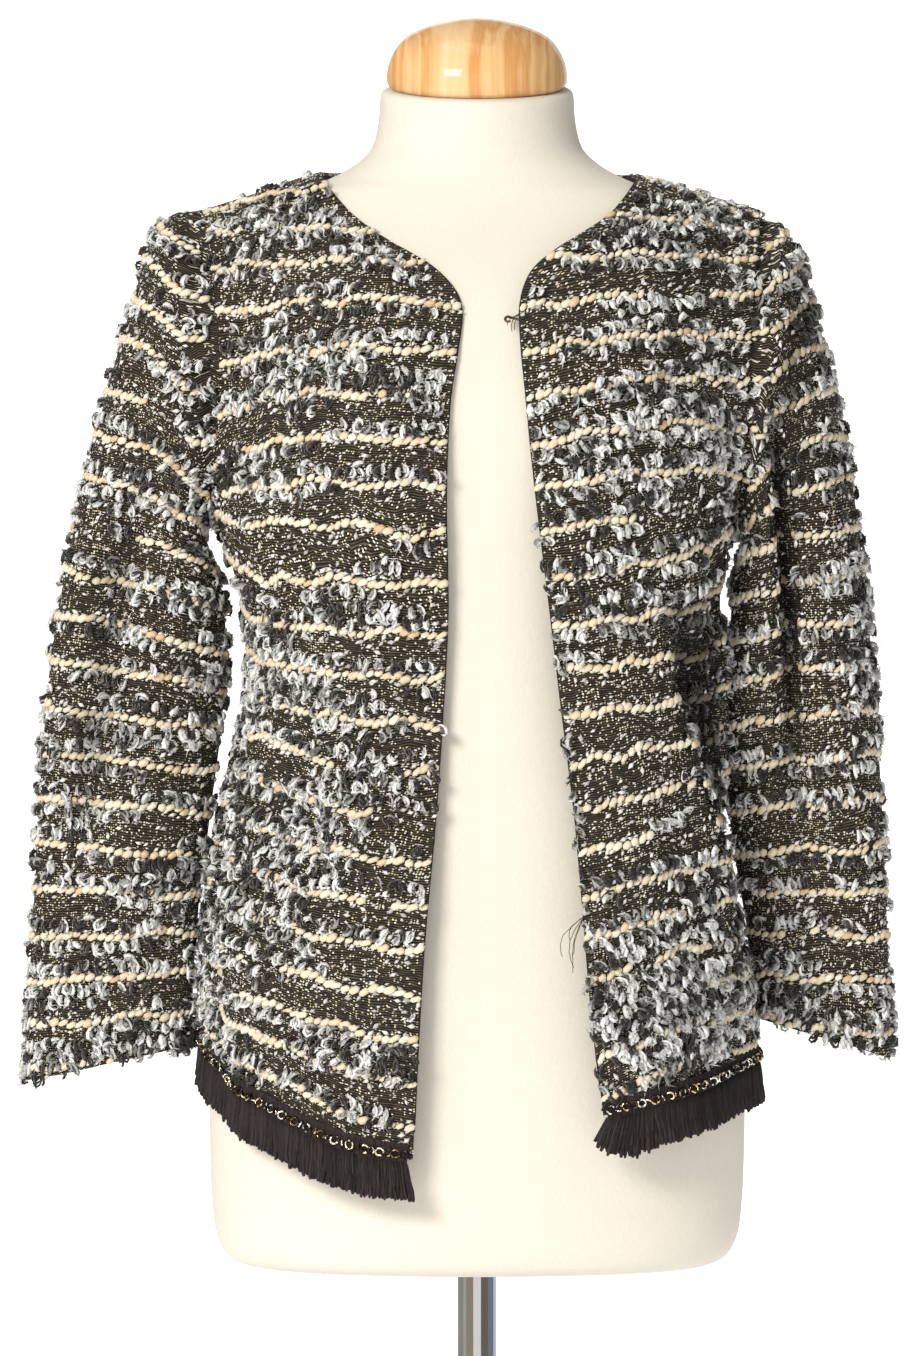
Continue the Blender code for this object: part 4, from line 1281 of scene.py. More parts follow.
class Panel:
    """One sewn piece: its fine skins, the row count over it and how to walk along its rows."""

    def __init__(self, name, inner, outer, counts, levels, form):
        closed = name.startswith("sleeve")
        self.name = name
        self.closed = closed
        self.climbs = -1 if closed else 1
        skins = refine(inner, FINE, FINE, closed), refine(outer, FINE, FINE, closed)
        self.inner, self.outer, self.hollow_shade = drape(name, skins, levels, closed)
        self.counts = refine(counts[..., None], FINE, FINE, closed)[..., 0]
        self.counts += wobble(self.counts.shape, sum(name.encode()))
        if not closed:
            clear = rest_on(self.inner, form, SKIN_GAP)
            self.outer += clear - self.inner
            self.inner = clear
        self.facing = normals_of(self.outer, closed)
        step = np.linalg.norm(np.diff(self.outer, axis=1, append=self.outer[:, :1]), axis=-1)
        if closed:
            step[:] = step.mean(axis=0)
        else:
            step[:, -1] = 0
        self.around = np.concatenate([np.zeros((len(step), 1)), np.cumsum(step, axis=1)], axis=1)
        self.walk = self.wrapped(self.outer), self.wrapped(self.facing), self.wrapped(self.hollow_shade)
        rising = LEAST_CLIMB * np.arange(len(self.counts))[:, None]
        self.climb = np.maximum.accumulate(self.wrapped(self.counts) + rising, axis=0)

    def wrapped(self, grid):
        return np.concatenate([grid, grid[:, :1]], axis=1) if self.closed else grid

    def runs(self, count, margins):
        """Unbroken lines of (points, normals, painted shade) along a row count, clear of the panel's
        ends.
        """
        points, facing, hollow_shade = self.walk
        low, high = self.climb[0] + margins[0], self.climb[-1] - margins[1]
        columns = np.arange(points.shape[1])
        inside = (low <= count) & (count <= high)
        if not inside.any():
            return []
        at = np.array([np.interp(count, self.climb[:, c], np.arange(len(points))) for c in columns])
        row = np.minimum(at.astype(int), len(points) - 2)
        share = (at - row)[:, None]
        line = points[row, columns] * (1 - share) + points[row + 1, columns] * share
        out = unit(facing[row, columns] * (1 - share) + facing[row + 1, columns] * share)
        deep = hollow_shade[row, columns]
        edges = np.flatnonzero(np.diff(inside.astype(int))) + 1
        pieces = np.split(columns, edges)
        return [(line[p], out[p], deep[p]) for p in pieces if inside[p[0]] and len(p) > 2]


def distances(points):
    """How far along a line of points each one lies."""
    return np.concatenate([[0], np.cumsum(np.linalg.norm(np.diff(points, axis=0), axis=-1))])


def read_at(at, length, vectors):
    """Vectors of a line of points, read at the distances in at."""
    return np.stack([np.interp(at, length, vectors[:, i]) for i in range(3)], axis=1)


def steps_along(length, pitch, rng, jitter):
    """Jittered distances, a pitch apart, from 0 to length."""
    count = int(length / pitch)
    return (np.arange(count) + 0.5 + rng.uniform(-jitter, jitter, count)) * length / count


def places(run, pitch, rng, jitter):
    """Frames at jittered steps of pitch along a run: distances, points, directions and painted fold
    shade.
    """
    points, facing, hollow_shade = run
    length = distances(points)
    at = steps_along(length[-1], pitch, rng, jitter)
    where = read_at(at, length, points)
    out = unit(read_at(at, length, facing))
    along = read_at(at, length, np.gradient(points, axis=0))
    along = unit(along - out * np.sum(along * out, axis=1, keepdims=True))
    up = np.cross(out, along)
    if up[:, 2].mean() < 0:
        along, up = -along, -up
    return at, where, np.stack([along, up, out], axis=1), np.interp(at, length, hollow_shade)


def along_courses(panel, courses, margins, rng, jitter):
    """For every run of a panel's courses: its row count, its course's last value and its places."""
    for row in range(math.floor(panel.climb.min()), math.ceil(panel.climb.max()) + 1):
        for height, pitch, value in courses:
            count = row + panel.climbs * height / ROW_PERIOD
            for run in panel.runs(count, margins):
                if distances(run[0])[-1] >= pitch:
                    yield count, value, *places(run, pitch, rng, jitter)


def mesh_piece(name, points, faces, finish, tones=None, hollow_shades=None):
    """A piece from arrays of points and of faces of one size, with values for every point."""
    points, faces = np.asarray(points, float), np.asarray(faces, int)
    mesh = bpy.data.meshes.new(name)
    mesh.vertices.add(len(points))
    mesh.vertices.foreach_set("co", points.ravel())
    mesh.loops.add(faces.size)
    mesh.loops.foreach_set("vertex_index", faces.ravel())
    mesh.polygons.add(len(faces))
    mesh.polygons.foreach_set("loop_start", np.arange(0, faces.size, faces.shape[1]))
    mesh.update(calc_edges=True)
    mesh.polygons.foreach_set("use_smooth", np.ones(len(faces), bool))
    for title, values in (("tone", tones), ("hollow_shade", hollow_shades)):
        if values is not None:
            layer = mesh.attributes.new(title, "FLOAT", "POINT")
            layer.data.foreach_set("value", np.asarray(values, float).ravel())
    mesh.validate()
    mesh.materials.append(finish)
    made = bpy.data.objects.new(name, mesh)
    bpy.context.scene.collection.objects.link(made)
    return made


def copies(shape, faces, where, frames, sizes):
    """Points and faces of one shape set at every place, scaled by sizes along its own axes."""
    local = shape[None] * sizes[:, None, :]
    points = where[:, None] + np.einsum("mni,mij->mnj", local, frames)
    offsets = np.arange(len(where))[:, None, None] * len(shape)
    return points.reshape(-1, 3), (faces[None] + offsets).reshape(-1, faces.shape[1])


def closed_body(rings, first_tip, last_tip):
    """Points of a body of rings between two tips, its faces with four corners and its two fans."""
    count, sides = len(rings), len(rings[0])
    points = np.concatenate([[first_tip], np.reshape(rings, (-1, 3)), [last_tip]])
    fans = [fan(1, sides, 0)[:, ::-1], fan(1 + (count - 1) * sides, sides, len(points) - 1)]
    return points, 1 + bands(count, sides), fans


def ball(rings, sides):
    """A rounded bead of triangles, one unit in radius, with its ends on the first axis."""
    loops = []
    for k in range(1, rings + 1):
        turn = math.pi * k / (rings + 1)
        around = 2 * math.pi * (np.arange(sides) + 0.5 * k) / sides
        y, z = math.sin(turn) * np.cos(around), math.sin(turn) * np.sin(around)
        loops.append(np.stack([0 * y - math.cos(turn), y, z], axis=1))
    points, strips, fans = closed_body(loops, (-1, 0, 0), (1, 0, 0))
    return points, np.concatenate([*fans, strips[:, [0, 1, 3]], strips[:, [1, 2, 3]]])


def yarns(paths, radii, facing, sides):
    """Closed yarns along paths of points, all with as many points: their points and triangles."""
    count, steps = paths.shape[:2]
    tangents = unit(np.gradient(paths, axis=1))
    one = unit(np.cross(tangents, facing))
    other = np.cross(tangents, one)
    angles = np.linspace(0, 2 * math.pi, sides, endpoint=False)
    ring = (
        np.cos(angles)[None, None, :, None] * one[:, :, None]
        + np.sin(angles)[None, None, :, None] * other[:, :, None]
    )
    points = paths[:, :, None] + ring * radii[:, :, None, None]
    last = (steps - 1) * sides
    ends = [(0, i + 1, i) for i in range(1, sides - 1)]
    ends += [(last, last + i, last + i + 1) for i in range(1, sides - 1)]
    faces = np.concatenate([halves(bands(steps, sides)), ends])
    offsets = np.arange(count)[:, None, None] * steps * sides
    return points.reshape(-1, 3), (faces[None] + offsets).reshape(-1, 3)


def merged(meshes):
    """Points and faces of several meshes as one."""
    offsets = np.cumsum([0] + [len(points) for points, _ in meshes])
    points = np.concatenate([points for points, _ in meshes])
    return points, np.concatenate([faces + offset for (_, faces), offset in zip(meshes, offsets)])


def turned_in_plane(angles):
    """Turns by the angles about the third axis, one for each place."""
    turns = np.zeros((len(angles), 3, 3))
    turns[:, 0, 0] = turns[:, 1, 1] = np.cos(angles)
    turns[:, 0, 1] = np.sin(angles)
    turns[:, 1, 0] = -np.sin(angles)
    turns[:, 2, 2] = 1
    return turns


def bead_piece(name, bead, gathered, finish):
    """Copies of a bead at all the gathered places, directions, sizes, tones and painted fold shade."""
    where, frames, sizes, *values = (np.concatenate(parts) for parts in zip(*gathered))
    points, faces = copies(*bead, where, frames, sizes)
    return mesh_piece(name, points, faces, finish, *(np.repeat(v, len(bead[0])) for v in values))


def rope_piece(panel, finish, rng):
    """The cream rows: slanted beads, each overlapping the next."""
    turn = turned_in_plane([math.radians(ROPE_SLANT)])[0]
    gathered = []
    courses = along_courses(panel, ROPE_COURSES, YARN_MARGINS[panel.closed], rng, ROPE_JITTER)
    for _, share, at, where, frames, deep in courses:
        keep = rng.uniform(0, 1, len(at)) < patches(at, at[-1], rng, share)
        where, frames = where[keep], frames[keep]
        count = len(where)
        shift = rng.normal(0, ROPE_STRAY, (count, 1)) * frames[:, 1] + ROPE_LIFT * frames[:, 2]
        sizes = np.array(ROPE_HALF_SIZES) * rng.uniform(*ROPE_SPREAD, (count, 3))
        tones = rng.uniform(0, 1, count)
        gathered.append((where + shift, turn @ frames, sizes, tones, deep[keep]))
    return bead_piece("rope_" + panel.name, ball(*ROPE_BEAD), gathered, finish)


def speck_piece(panel, finish, rng):
    """White slubs beside the cream rows and scattered over the plain courses."""
    gathered = []
    courses = along_courses(panel, SPECK_COURSES, YARN_MARGINS[panel.closed], rng, SPECK_JITTER)
    for _, chance, _, where, frames, deep in courses:
        keep = rng.uniform(0, 1, len(where)) < chance * (1 - SPECK_THINNING * deep)
        where, frames = where[keep], frames[keep]
        count = len(where)
        shift = rng.normal(0, SPECK_STRAY, (count, 1)) * frames[:, 1]
        turns = turned_in_plane(rng.normal(*SPECK_SLANT, count))
        sizes = np.array(SPECK_HALF_SIZES) * rng.uniform(*SPECK_SPREAD, (count, 1))
        tones = rng.uniform(0, 1, count)
        gathered.append((where + shift + SPECK_LIFT * frames[:, 2], turns @ frames, sizes, tones))
    return bead_piece("slubs_" + panel.name, ball(*SPECK_BEAD), gathered, finish)


def patches(at, length, rng, share):
    """How thick things lie along a run: from 0 to 1, in patches with soft ends."""
    knots = np.arange(-1, length / PATCH_LENGTH + 3)
    levels = rng.uniform(0, 1, len(knots))
    level = np.interp(at / PATCH_LENGTH + rng.uniform(0, 1), knots, levels)
    return np.clip((level - (1 - share)) / PATCH_SOFTNESS + 0.5, 0, 1)


def beside_edge(name, at, where):
    """How near a front's edge each tuft hangs, from 0 to 1, below the part where the edge is bare."""
    if name not in EDGE_OVER_TOP:
        return np.zeros(len(at))
    from_edge = at[-1] + TUFT_PITCH / 2 - at if name == "front_right" else at
    low = where[:, 2] < TABLE_LEVEL + EDGE_OVER_TOP[name]
    return np.clip(EDGE_WEIGHT - from_edge / EDGE_REACH, 0, 1) * low


def tuft_roots(panel, rng):
    """Where the tufts hang from the cloth, with their directions, tones and painted shade; tufts in
    folds and over a front's edge get darker tones as painted shade.
    """
    gathered = []
    towards_edge = 1 if panel.name == "front_right" else -1
    courses = along_courses(panel, TUFT_COURSES, TUFT_MARGINS[panel.closed], rng, TUFT_JITTER)
    for row_count, share, at, where, frames, deep in courses:
        clear = np.ones(len(at), bool)
        if panel.name.startswith("front"):
            share = share + sum(felt_at(where, THICK_PLACES))
            clear = (at > EDGE_CLEAR) & (at < at[-1] - EDGE_CLEAR)
        elif panel.closed and row_count > panel.climb[-1].mean() - CUFF_ROWS:
            share = share + CUFF_MORE
        beside = beside_edge(panel.name, at, where)
        chance = patches(at, at[-1], rng, share) * (1 - TUFT_THINNING * deep)
        chance = np.maximum(chance, EDGE_CHANCE * beside)
        keep = clear & (rng.uniform(0, 1, len(at)) < chance)
        levels = rng.choice(TUFT_TONES, int(at[-1] / TONE_LENGTH) + 3)
        stray = rng.uniform(-TONE_JITTER, TONE_JITTER, len(at))
        tones = levels[(at / TONE_LENGTH + stray + 1).astype(int)]
        # Painted shade: tufts darken in the folds and where they hang over a front's edge
        tones = tones * (1 - TUFT_PAINTED_SHADE * deep) * (1 - EDGE_PAINTED_SHADE * beside)
        shift = rng.uniform(-TUFT_STRAY, TUFT_STRAY, (len(at), 1)) * frames[:, 1]
        outward = frames[:, 0] * np.sign(frames[:, 0, :1]) * towards_edge
        where = where + shift + EDGE_OVER * beside[:, None] * outward
        gathered.append((where[keep], frames[keep], tones[keep], deep[keep]))
    return (np.concatenate(parts) for parts in zip(*gathered))


def tuft_piece(panel, finish, rng):
    """Brushed tufts of marled yarn that hang from the cloth in patches, with loose fibres."""
    where, frames, tones, hollow_shades = tuft_roots(panel, rng)
    count = len(where)
    turn = rng.uniform(*TUFT_TURNS, (count, 1))
    wide = rng.uniform(*TUFT_WIDTHS, (count, 1)) * rng.choice([-1, 1], (count, 1)) / 2
    drop = rng.uniform(*TUFT_DROPS, (count, 1))
    lift = rng.uniform(*TUFT_LIFTS, (count, 1))
    swing = rng.normal(0, TUFT_SWING, (count, 1))
    thick = rng.uniform(*TUFT_RADII, (count, 1)) * (TUFT_DARK_WIDTH + TUFT_PALE_GAIN * tones[:, None])
    meshes, values = [], []
    strands = TUFT_STRANDS[:1] if panel.name == "back" else TUFT_STRANDS
    for strand in strands:
        steps = np.linspace(0, 1, strand.steps)[None, :]
        bend = turn * steps
        fall = (1 - np.cos(bend)) / 2
        opening = TUFT_OPENING[0] + TUFT_OPENING[1] * fall
        across = strand.size * wide * (np.sin(bend) * opening + TUFT_DRIFT * steps)
        down = drop * (strand.size * fall + INNER_DROP * (1 - strand.size))
        local = np.stack(
            [
                across * np.cos(swing) - down * np.sin(swing),
                -across * np.sin(swing) - down * np.cos(swing),
                strand.rise * lift * np.sin(math.pi * steps) ** TUFT_ARCH - TUFT_ROOT,
            ],
            axis=-1,
        )
        paths = where[:, None] + np.einsum("msi,mij->msj", local, frames)
        swell = TUFT_TIP + (1 - TUFT_TIP) * np.sin(math.pi * steps**TUFT_BELLY)
        meshes.append(yarns(paths, thick * swell, frames[:, None, 2], TUFT_SIDES))
        # The inner strand is darker, painted shade inside the curl, and the outer one a little paler,
        # painted light on its rim
        drift = rng.normal(strand.shade, TONE_STRAY, (count, 1))
        drift = drift + rng.normal(0, TONE_SLOPE, (count, 1)) * (steps - 0.5)
        shades = np.clip(tones[:, None] + drift, 0, 1)
        deep = np.broadcast_to(hollow_shades[:, None], shades.shape)
        values.append(np.stack([shades, deep], -1).repeat(TUFT_SIDES, 1))
        if strand.size == 1:
            meshes.append(fibre_mesh(paths, frames, rng))
            loose = np.stack([np.clip(tones + FIBRE_TONE, 0, 1), hollow_shades], -1)
            values.append(loose.repeat(4 * FIBRES, 0))
    points, faces = merged(meshes)
    shades, hollow_shades = np.concatenate([value.reshape(-1, 2) for value in values]).T
    return mesh_piece("curls_" + panel.name, points, faces, finish, shades, hollow_shades)


def fibre_mesh(paths, frames, rng):
    """Fine spikes that stray from the tufts, mostly along them."""
    count, steps = paths.shape[:2]
    many = FIBRES * count
    owner = np.repeat(np.arange(count), FIBRES)
    at = rng.integers(1, steps - 1, many)
    start = paths[owner, at]
    along = unit(paths[owner, at + 1] - paths[owner, at - 1]) * rng.choice([-1, 1], (many, 1))
    heading = unit(FIBRE_STRAY * rng.normal(0, 1, (many, 3)) + np.array(FIBRE_LEAN))
    heading = unit(np.einsum("mi,mij->mj", heading, frames[owner]) + along)
    tips = start + heading * rng.uniform(*FIBRE_LENGTHS, (many, 1))
    aside = FIBRE_RADIUS * unit(np.cross(heading, rng.normal(0, 1, (many, 3))))
    across = np.cross(heading, aside)
    foot = start - aside / 2
    points = np.stack([start + aside, foot + across, foot - across, tips], 1)
    spike = np.array([(0, 2, 1), (0, 1, 3), (1, 2, 3), (2, 0, 3)])
    spikes = spike[None] + 4 * np.arange(many)[:, None, None]
    return points.reshape(-1, 3), spikes.reshape(-1, 3)


def wall(rows, columns, closed):
    """The skin (0 inner, 1 outer), row and column of every corner of a thin closed wall's faces."""
    across = np.arange(columns if closed else columns - 1)
    r, c = (values.ravel() for values in np.meshgrid(np.arange(rows - 1), across, indexing="ij"))
    top = rows - 1
    sets = [
        ((0, r, c), (0, r + 1, c), (0, r + 1, c + 1), (0, r, c + 1)),
        ((1, r, c), (1, r, c + 1), (1, r + 1, c + 1), (1, r + 1, c)),
        ((0, 0, across), (0, 0, across + 1), (1, 0, across + 1), (1, 0, across)),
        ((0, top, across), (1, top, across), (1, top, across + 1), (0, top, across + 1)),
    ]
    if not closed:
        k = np.arange(rows - 1)
        for side, flip in ((0, 1), (columns - 1, -1)):
            sets.append(((0, k, side), (1, k, side), (1, k + 1, side), (0, k + 1, side))[::flip])
    corners = [
        np.stack([np.stack(np.broadcast_arrays(*corner), axis=-1) for corner in corner_set], axis=1)
        for corner_set in sets
    ]
    return np.moveaxis(np.concatenate(corners), -1, 0)


def wall_piece(name, inner, outer, closed, finish, hollow_shades=None):
    """A mesh of a thin closed wall between two skins, and the row and column at each of its corners."""
    rows, columns = inner.shape[:2]
    skin, row, column = wall(rows, columns, closed)
    points = np.concatenate([inner.reshape(-1, 3), outer.reshape(-1, 3)])
    faces = (skin * rows + row) * columns + column % columns
    return mesh_piece(name, points, faces, finish, hollow_shades=hollow_shades), row, column


def shell_piece(panel, knit, reverse):
    """The cloth itself: a thin closed wall with the knit outside and its plain reverse inside."""
    coarse = (slice(None, None, SHELL_STEP), slice(None, None, SHELL_STEP))
    inner, outer = panel.inner[coarse], panel.outer[coarse]
    hollow_shade = np.tile(panel.hollow_shade[coarse].ravel(), 2)
    made, row, column = wall_piece(
        "cloth_" + panel.name, inner, outer, panel.closed, knit, hollow_shades=hollow_shade
    )
    around, climb = panel.around[coarse], panel.wrapped(panel.counts)[coarse]
    layer = made.data.uv_layers.new(name="rows")
    layer.data.foreach_set("uv", np.stack([around[row, column], climb[row, column]], axis=-1).ravel())
    made.data.materials.append(reverse)
    inside = np.zeros(len(row), int)
    inside[: (len(inner) - 1) * (inner.shape[1] - (not panel.closed))] = 1
    made.data.polygons.foreach_set("material_index", inside)
    face_outwards(made.data, SHELL_SHARP)
    return made


def trim_lines(panel):
    """The hem's fine bottom row, its upward and its outward directions."""
    up = unit(panel.outer[FINE] - panel.outer[0])
    hem, out = panel.outer[0].copy(), panel.facing[0]
    return hem[1:-1], up[1:-1], out[1:-1]


def tape_piece(panel, under, finish):
    """The dark woven tape that lies over the hem."""
    hem, up, out = trim_lines(panel)
    heights = np.linspace(-TAPE_DROP, TAPE_HEIGHT - TAPE_DROP, TAPE_ROWS)
    inner = rest_on(np.stack([hem + up * h + out * TAPE_GAP for h in heights]), under, TAPE_GAP)
    made, _, _ = wall_piece("tape_" + panel.name, inner, inner + out * TAPE_THICK, False, finish)
    face_outwards(made.data, TAPE_SHARP)
    return made


def fringe_piece(panel, finish, rng):
    """Soft yarns hanging from the lower edge of the tape in layers, drawn together into small lobes."""
    hem, up, out = trim_lines(panel)
    length = distances(hem)
    along = unit(np.gradient(hem, axis=0))
    meshes, tones = [], []
    for number, layer in enumerate(YARN_LAYERS):
        at = steps_along(length[-1], layer.pitch, rng, YARN_JITTER)
        count = len(at)
        where, rise, face, way = (read_at(at, length, line) for line in (hem, up, out, along))
        lobe = at / LOBE_PITCH + LOBE_WANDER * np.sin(at / LOBE_WANDER_LENGTH) + LOBE_SHIFT * number
        away = lobe - np.round(lobe)
        from_corner = length[-1] - at if panel.name == "front_right" else at
        near = np.clip(1 - from_corner / FLARE_REACH, 0, 1)
        spread = CORNER_FLARES[panel.name] * near**CORNER_CURVE
        fall = (STRAND_HANG - 1) * rise - np.array([0, 0, STRAND_HANG])
        fall = unit(fall + STRAND_LIFT * face - spread[:, None] * way)
        root = where + rise * (layer.start - TAPE_DROP) + face * (TAPE_GAP + TAPE_THICK * layer.depth)
        reach = YARN_LENGTH * layer.length * (1 - LOBE_CUT * (2 * away) ** 2)
        reach *= rng.normal(1, YARN_UNEVENNESS, count)
        if panel.name == "front_left":
            reach *= 1 + CORNER_MORE * np.sin(math.pi * near) - CORNER_LESS * near**4
        steps = np.array(layer.steps)[None, :, None]
        pull = -LOBE_PULL * away * LOBE_PITCH + rng.normal(0, YARN_SWAY, count)
        waves = rng.uniform(*YARN_WAVES, (2, count, 1, 1)) * steps
        waves = waves + rng.uniform(0, 1, (2, count, 1, 1))
        waves = YARN_WAVE * steps**0.5 * np.sin(2 * math.pi * waves)
        ease = rng.uniform(*YARN_EASE, (count, 1, 1)) * YARN_LIFT * steps**2
        paths = root[:, None] + fall[:, None] * reach[:, None, None] * steps
        paths = paths + (pull[:, None, None] * steps**YARN_BOW + waves[0]) * way[:, None]
        paths = paths + (waves[1] + ease) * face[:, None]
        radii = YARN_RADIUS * rng.uniform(*YARN_SPREAD, (count, 1)) * np.array(layer.swells)
        facing = np.broadcast_to(face[:, None], paths.shape)
        meshes.append(yarns(paths, radii, facing, YARN_SIDES))
        tones.append(np.repeat(rng.uniform(0, 1, count), len(layer.steps) * YARN_SIDES))
    return mesh_piece("yarns_" + panel.name, *merged(meshes), finish, np.concatenate(tones))


def ring_shape(length, width, wire, steps, sides):
    """A stadium-shaped link in the plane of its first two axes."""
    loops = []
    around = 2 * math.pi * np.arange(sides)[:, None] / sides
    for k in range(steps):
        turn = 2 * math.pi * k / steps
        outward = np.array([math.cos(turn), math.sin(turn), 0])
        stretch = np.array([math.copysign((length - width) / 2, outward[0]), 0, 0])
        rim = np.cos(around) * outward + np.sin(around) * np.array([0, 0, 1])
        loops.append(width / 2 * outward + stretch + wire * rim)
    return np.concatenate(loops), halves(bands(steps, sides, closed=True))[:, ::-1]


def chain_piece(panel, under, finish, rng):
    """Small links sewn along the tape, every other one turned edge on and half sunk in its pile."""
    hem, up, out = trim_lines(panel)
    middle = (CHAIN_LOW_SHARE + CHAIN_HIGH_SHARE) / 2 * TAPE_HEIGHT - TAPE_DROP + LINK_RISE
    line = rest_on(hem + up * middle, under, TAPE_GAP + TAPE_THICK)
    line = line + out * (LINK_WIRE + LINK_SINK)
    _, where, frames, _ = places((line, out, np.zeros(len(line))), LINK_PITCH, rng, LINK_JITTER)
    count = len(where)
    shape, faces = ring_shape(LINK_LENGTH, LINK_WIDTH, LINK_WIRE, *LINK_SIDES)
    edge_on = np.arange(count) % 2
    yaws = EDGE_ON_TURN * edge_on + rng.normal(0, LINK_STRAY, count)
    turns = turned_in_plane(rng.normal(0, LINK_STRAY, count))
    turns[:, 0] *= np.cos(yaws)[:, None]
    turns[:, 0, 2] = np.sin(yaws)
    turns[:, 2] = np.cross(turns[:, 0], turns[:, 1])
    sizes = np.where(edge_on, EDGE_ON_LINK, 1)[:, None] * np.ones(3)
    stand = np.where(edge_on, 0, LINK_STAND)[:, None]
    points, faces = copies(shape, faces, where + frames[:, 2] * stand, turns @ frames, sizes)
    tones = np.repeat(rng.uniform(0, 1, count), len(shape))
    return mesh_piece("links_" + panel.name, points, faces, finish, tones)


def wire_piece(name, paths, radius, facing, sides, finish, tone):
    """Even yarns or wires of one tone along paths of points, all with as many points."""
    paths = np.array(paths)
    radii = np.full(paths.shape[:2], radius)
    points, faces = yarns(paths, radii, np.broadcast_to(facing, paths.shape), sides)
    return mesh_piece(name, points, faces, finish, np.full(len(points), tone))


def hook_piece(panel, finish):
    """The bent wire hook behind the wearer's left front edge."""
    outer = panel.outer
    at = np.interp(TABLE_LEVEL + HOOK_HEIGHT, outer[:, 0, 2], np.arange(len(outer)))
    borders = np.stack([outer[:, 0], outer[:, FINE], panel.facing[:, 0]], axis=1)
    edge, beside, out = spline(borders, [at])[0]
    across, out = unit(beside - edge), unit(out)
    up = unit(np.cross(out, across))
    place = edge - out * (CLOTH + HOOK_WIRE + 2 * SEAM_GAP)
    eye = EYE_RADIUS * np.stack([np.cos(EYE_TURNS), np.sin(EYE_TURNS), 0 * EYE_TURNS], axis=1)
    curl = CURL_RADIUS * np.stack([np.cos(CURL_TURNS), np.sin(CURL_TURNS), 0 * CURL_TURNS], axis=1)
    curl[:, 2] = np.linspace(0, CURL_RISE, HOOK_POINTS)
    path = np.concatenate([eye + (EYE_X, 0, 0), SHANK, curl + (CURL_X, CURL_HEIGHT, 0)])
    path = spline(path, np.linspace(0, len(path) - 1, 3 * len(path)))
    path = place + path @ np.array([across, up, out]) * MM
    radius = HOOK_SWELL * HOOK_WIRE
    return wire_piece("hook_wire", [path], radius, out, HOOK_SIDES, finish, HOOK_TONE)


def thread_piece(panel, finish, rng):
    """A few loose dark threads on the wearer's left front edge and at the hook."""
    paths = []
    for height, length, lean, count in LOOSE_THREADS:
        at = np.interp(TABLE_LEVEL + height * MM, panel.outer[:, 0, 2], np.arange(len(panel.outer)))
        root, out = panel.outer[round(at), 0], panel.facing[round(at), 0]
        for _ in range(count):
            steps = np.linspace(0, 1, THREAD_POINTS)[:, None]
            reach = length * rng.uniform(*THREAD_REACH)
            way = np.array([-lean * rng.uniform(*THREAD_LEAN), 0, -1 + rng.normal(0, THREAD_SWING)])
            bow = np.array([-rng.uniform(*THREAD_BOW), 0, 0]) * reach
            path = root + out * THREAD_STAND + reach * steps * way + bow * np.sin(math.pi * steps)
            path = path + out * reach * THREAD_SWAY * np.sin(steps * rng.uniform(*THREAD_WAVES))
            paths.append(path + rng.normal(0, THREAD_STRAY, path.shape))
    facing = (0, -1, 0)
    return wire_piece(
        "loose_threads", paths, THREAD_RADIUS, facing, THREAD_SIDES, finish, THREAD_TONE
    )


def binding_piece(panel, finish):
    """The dark bound edge down a front, from the neck to the hem."""
    column = -1 if panel.name == "front_right" else 0
    edge = (panel.outer[:, column] + panel.inner[:, column]) / 2
    paths, facing = [edge[FINE // 2 :]], panel.facing[FINE // 2 :, column]
    name = "binding_" + panel.name
    return wire_piece(name, paths, BINDING_RADIUS, facing, BINDING_SIDES, finish, BINDING_TONE)


def circles(profile, sides):
    """A level ring of points for each (radius, height)."""
    angles = np.linspace(0, 2 * math.pi, sides, endpoint=False)
    x, y = np.cos(angles), np.sin(angles)
    return [np.stack([radius * x, radius * y, 0 * x + height], axis=1) for radius, height in profile]


def ringed_piece(name, rings, first_tip, last_tip, sharp_degrees, finish):
    """A solid of rings of points, closed towards a tip at each end."""
    points, strips, fans = closed_body(rings, first_tip, last_tip)
    made = mesh_piece(name, points, np.concatenate([*fans, halves(strips)]), finish)
    face_outwards(made.data, sharp_degrees)
    return made


def turned_piece(name, profile, sides, finish):
    """A solid of revolution from (radius, height) points, which run from its top down the axis."""
    top, foot = ((0, 0, profile[k][1]) for k in (0, -1))
    return ringed_piece(name, circles(profile[1:-1], sides), top, foot, TURNED_SHARP, finish)


def torso_piece(finish):
    """The smooth torso, closed below and above."""
    rings = form_rings(FINE_RINGS_PER_ROW, FINE_SIDES)
    foot, top = rings[0].mean(0), rings[-1].mean(0)
    return ringed_piece("torso_jersey", rings, foot, top, TORSO_SHARP, finish)


def face_outwards(mesh, sharp_degrees):
    """Turns all faces outwards and marks the edges that bend more than so many degrees as sharp."""
    work = bmesh.new()
    work.from_mesh(mesh)
    bmesh.ops.recalc_face_normals(work, faces=work.faces)
    if work.calc_volume(signed=True) < 0:
        bmesh.ops.reverse_faces(work, faces=work.faces)
    work.to_mesh(mesh)
    work.free()
    mesh.set_sharp_from_angle(angle=math.radians(sharp_degrees))


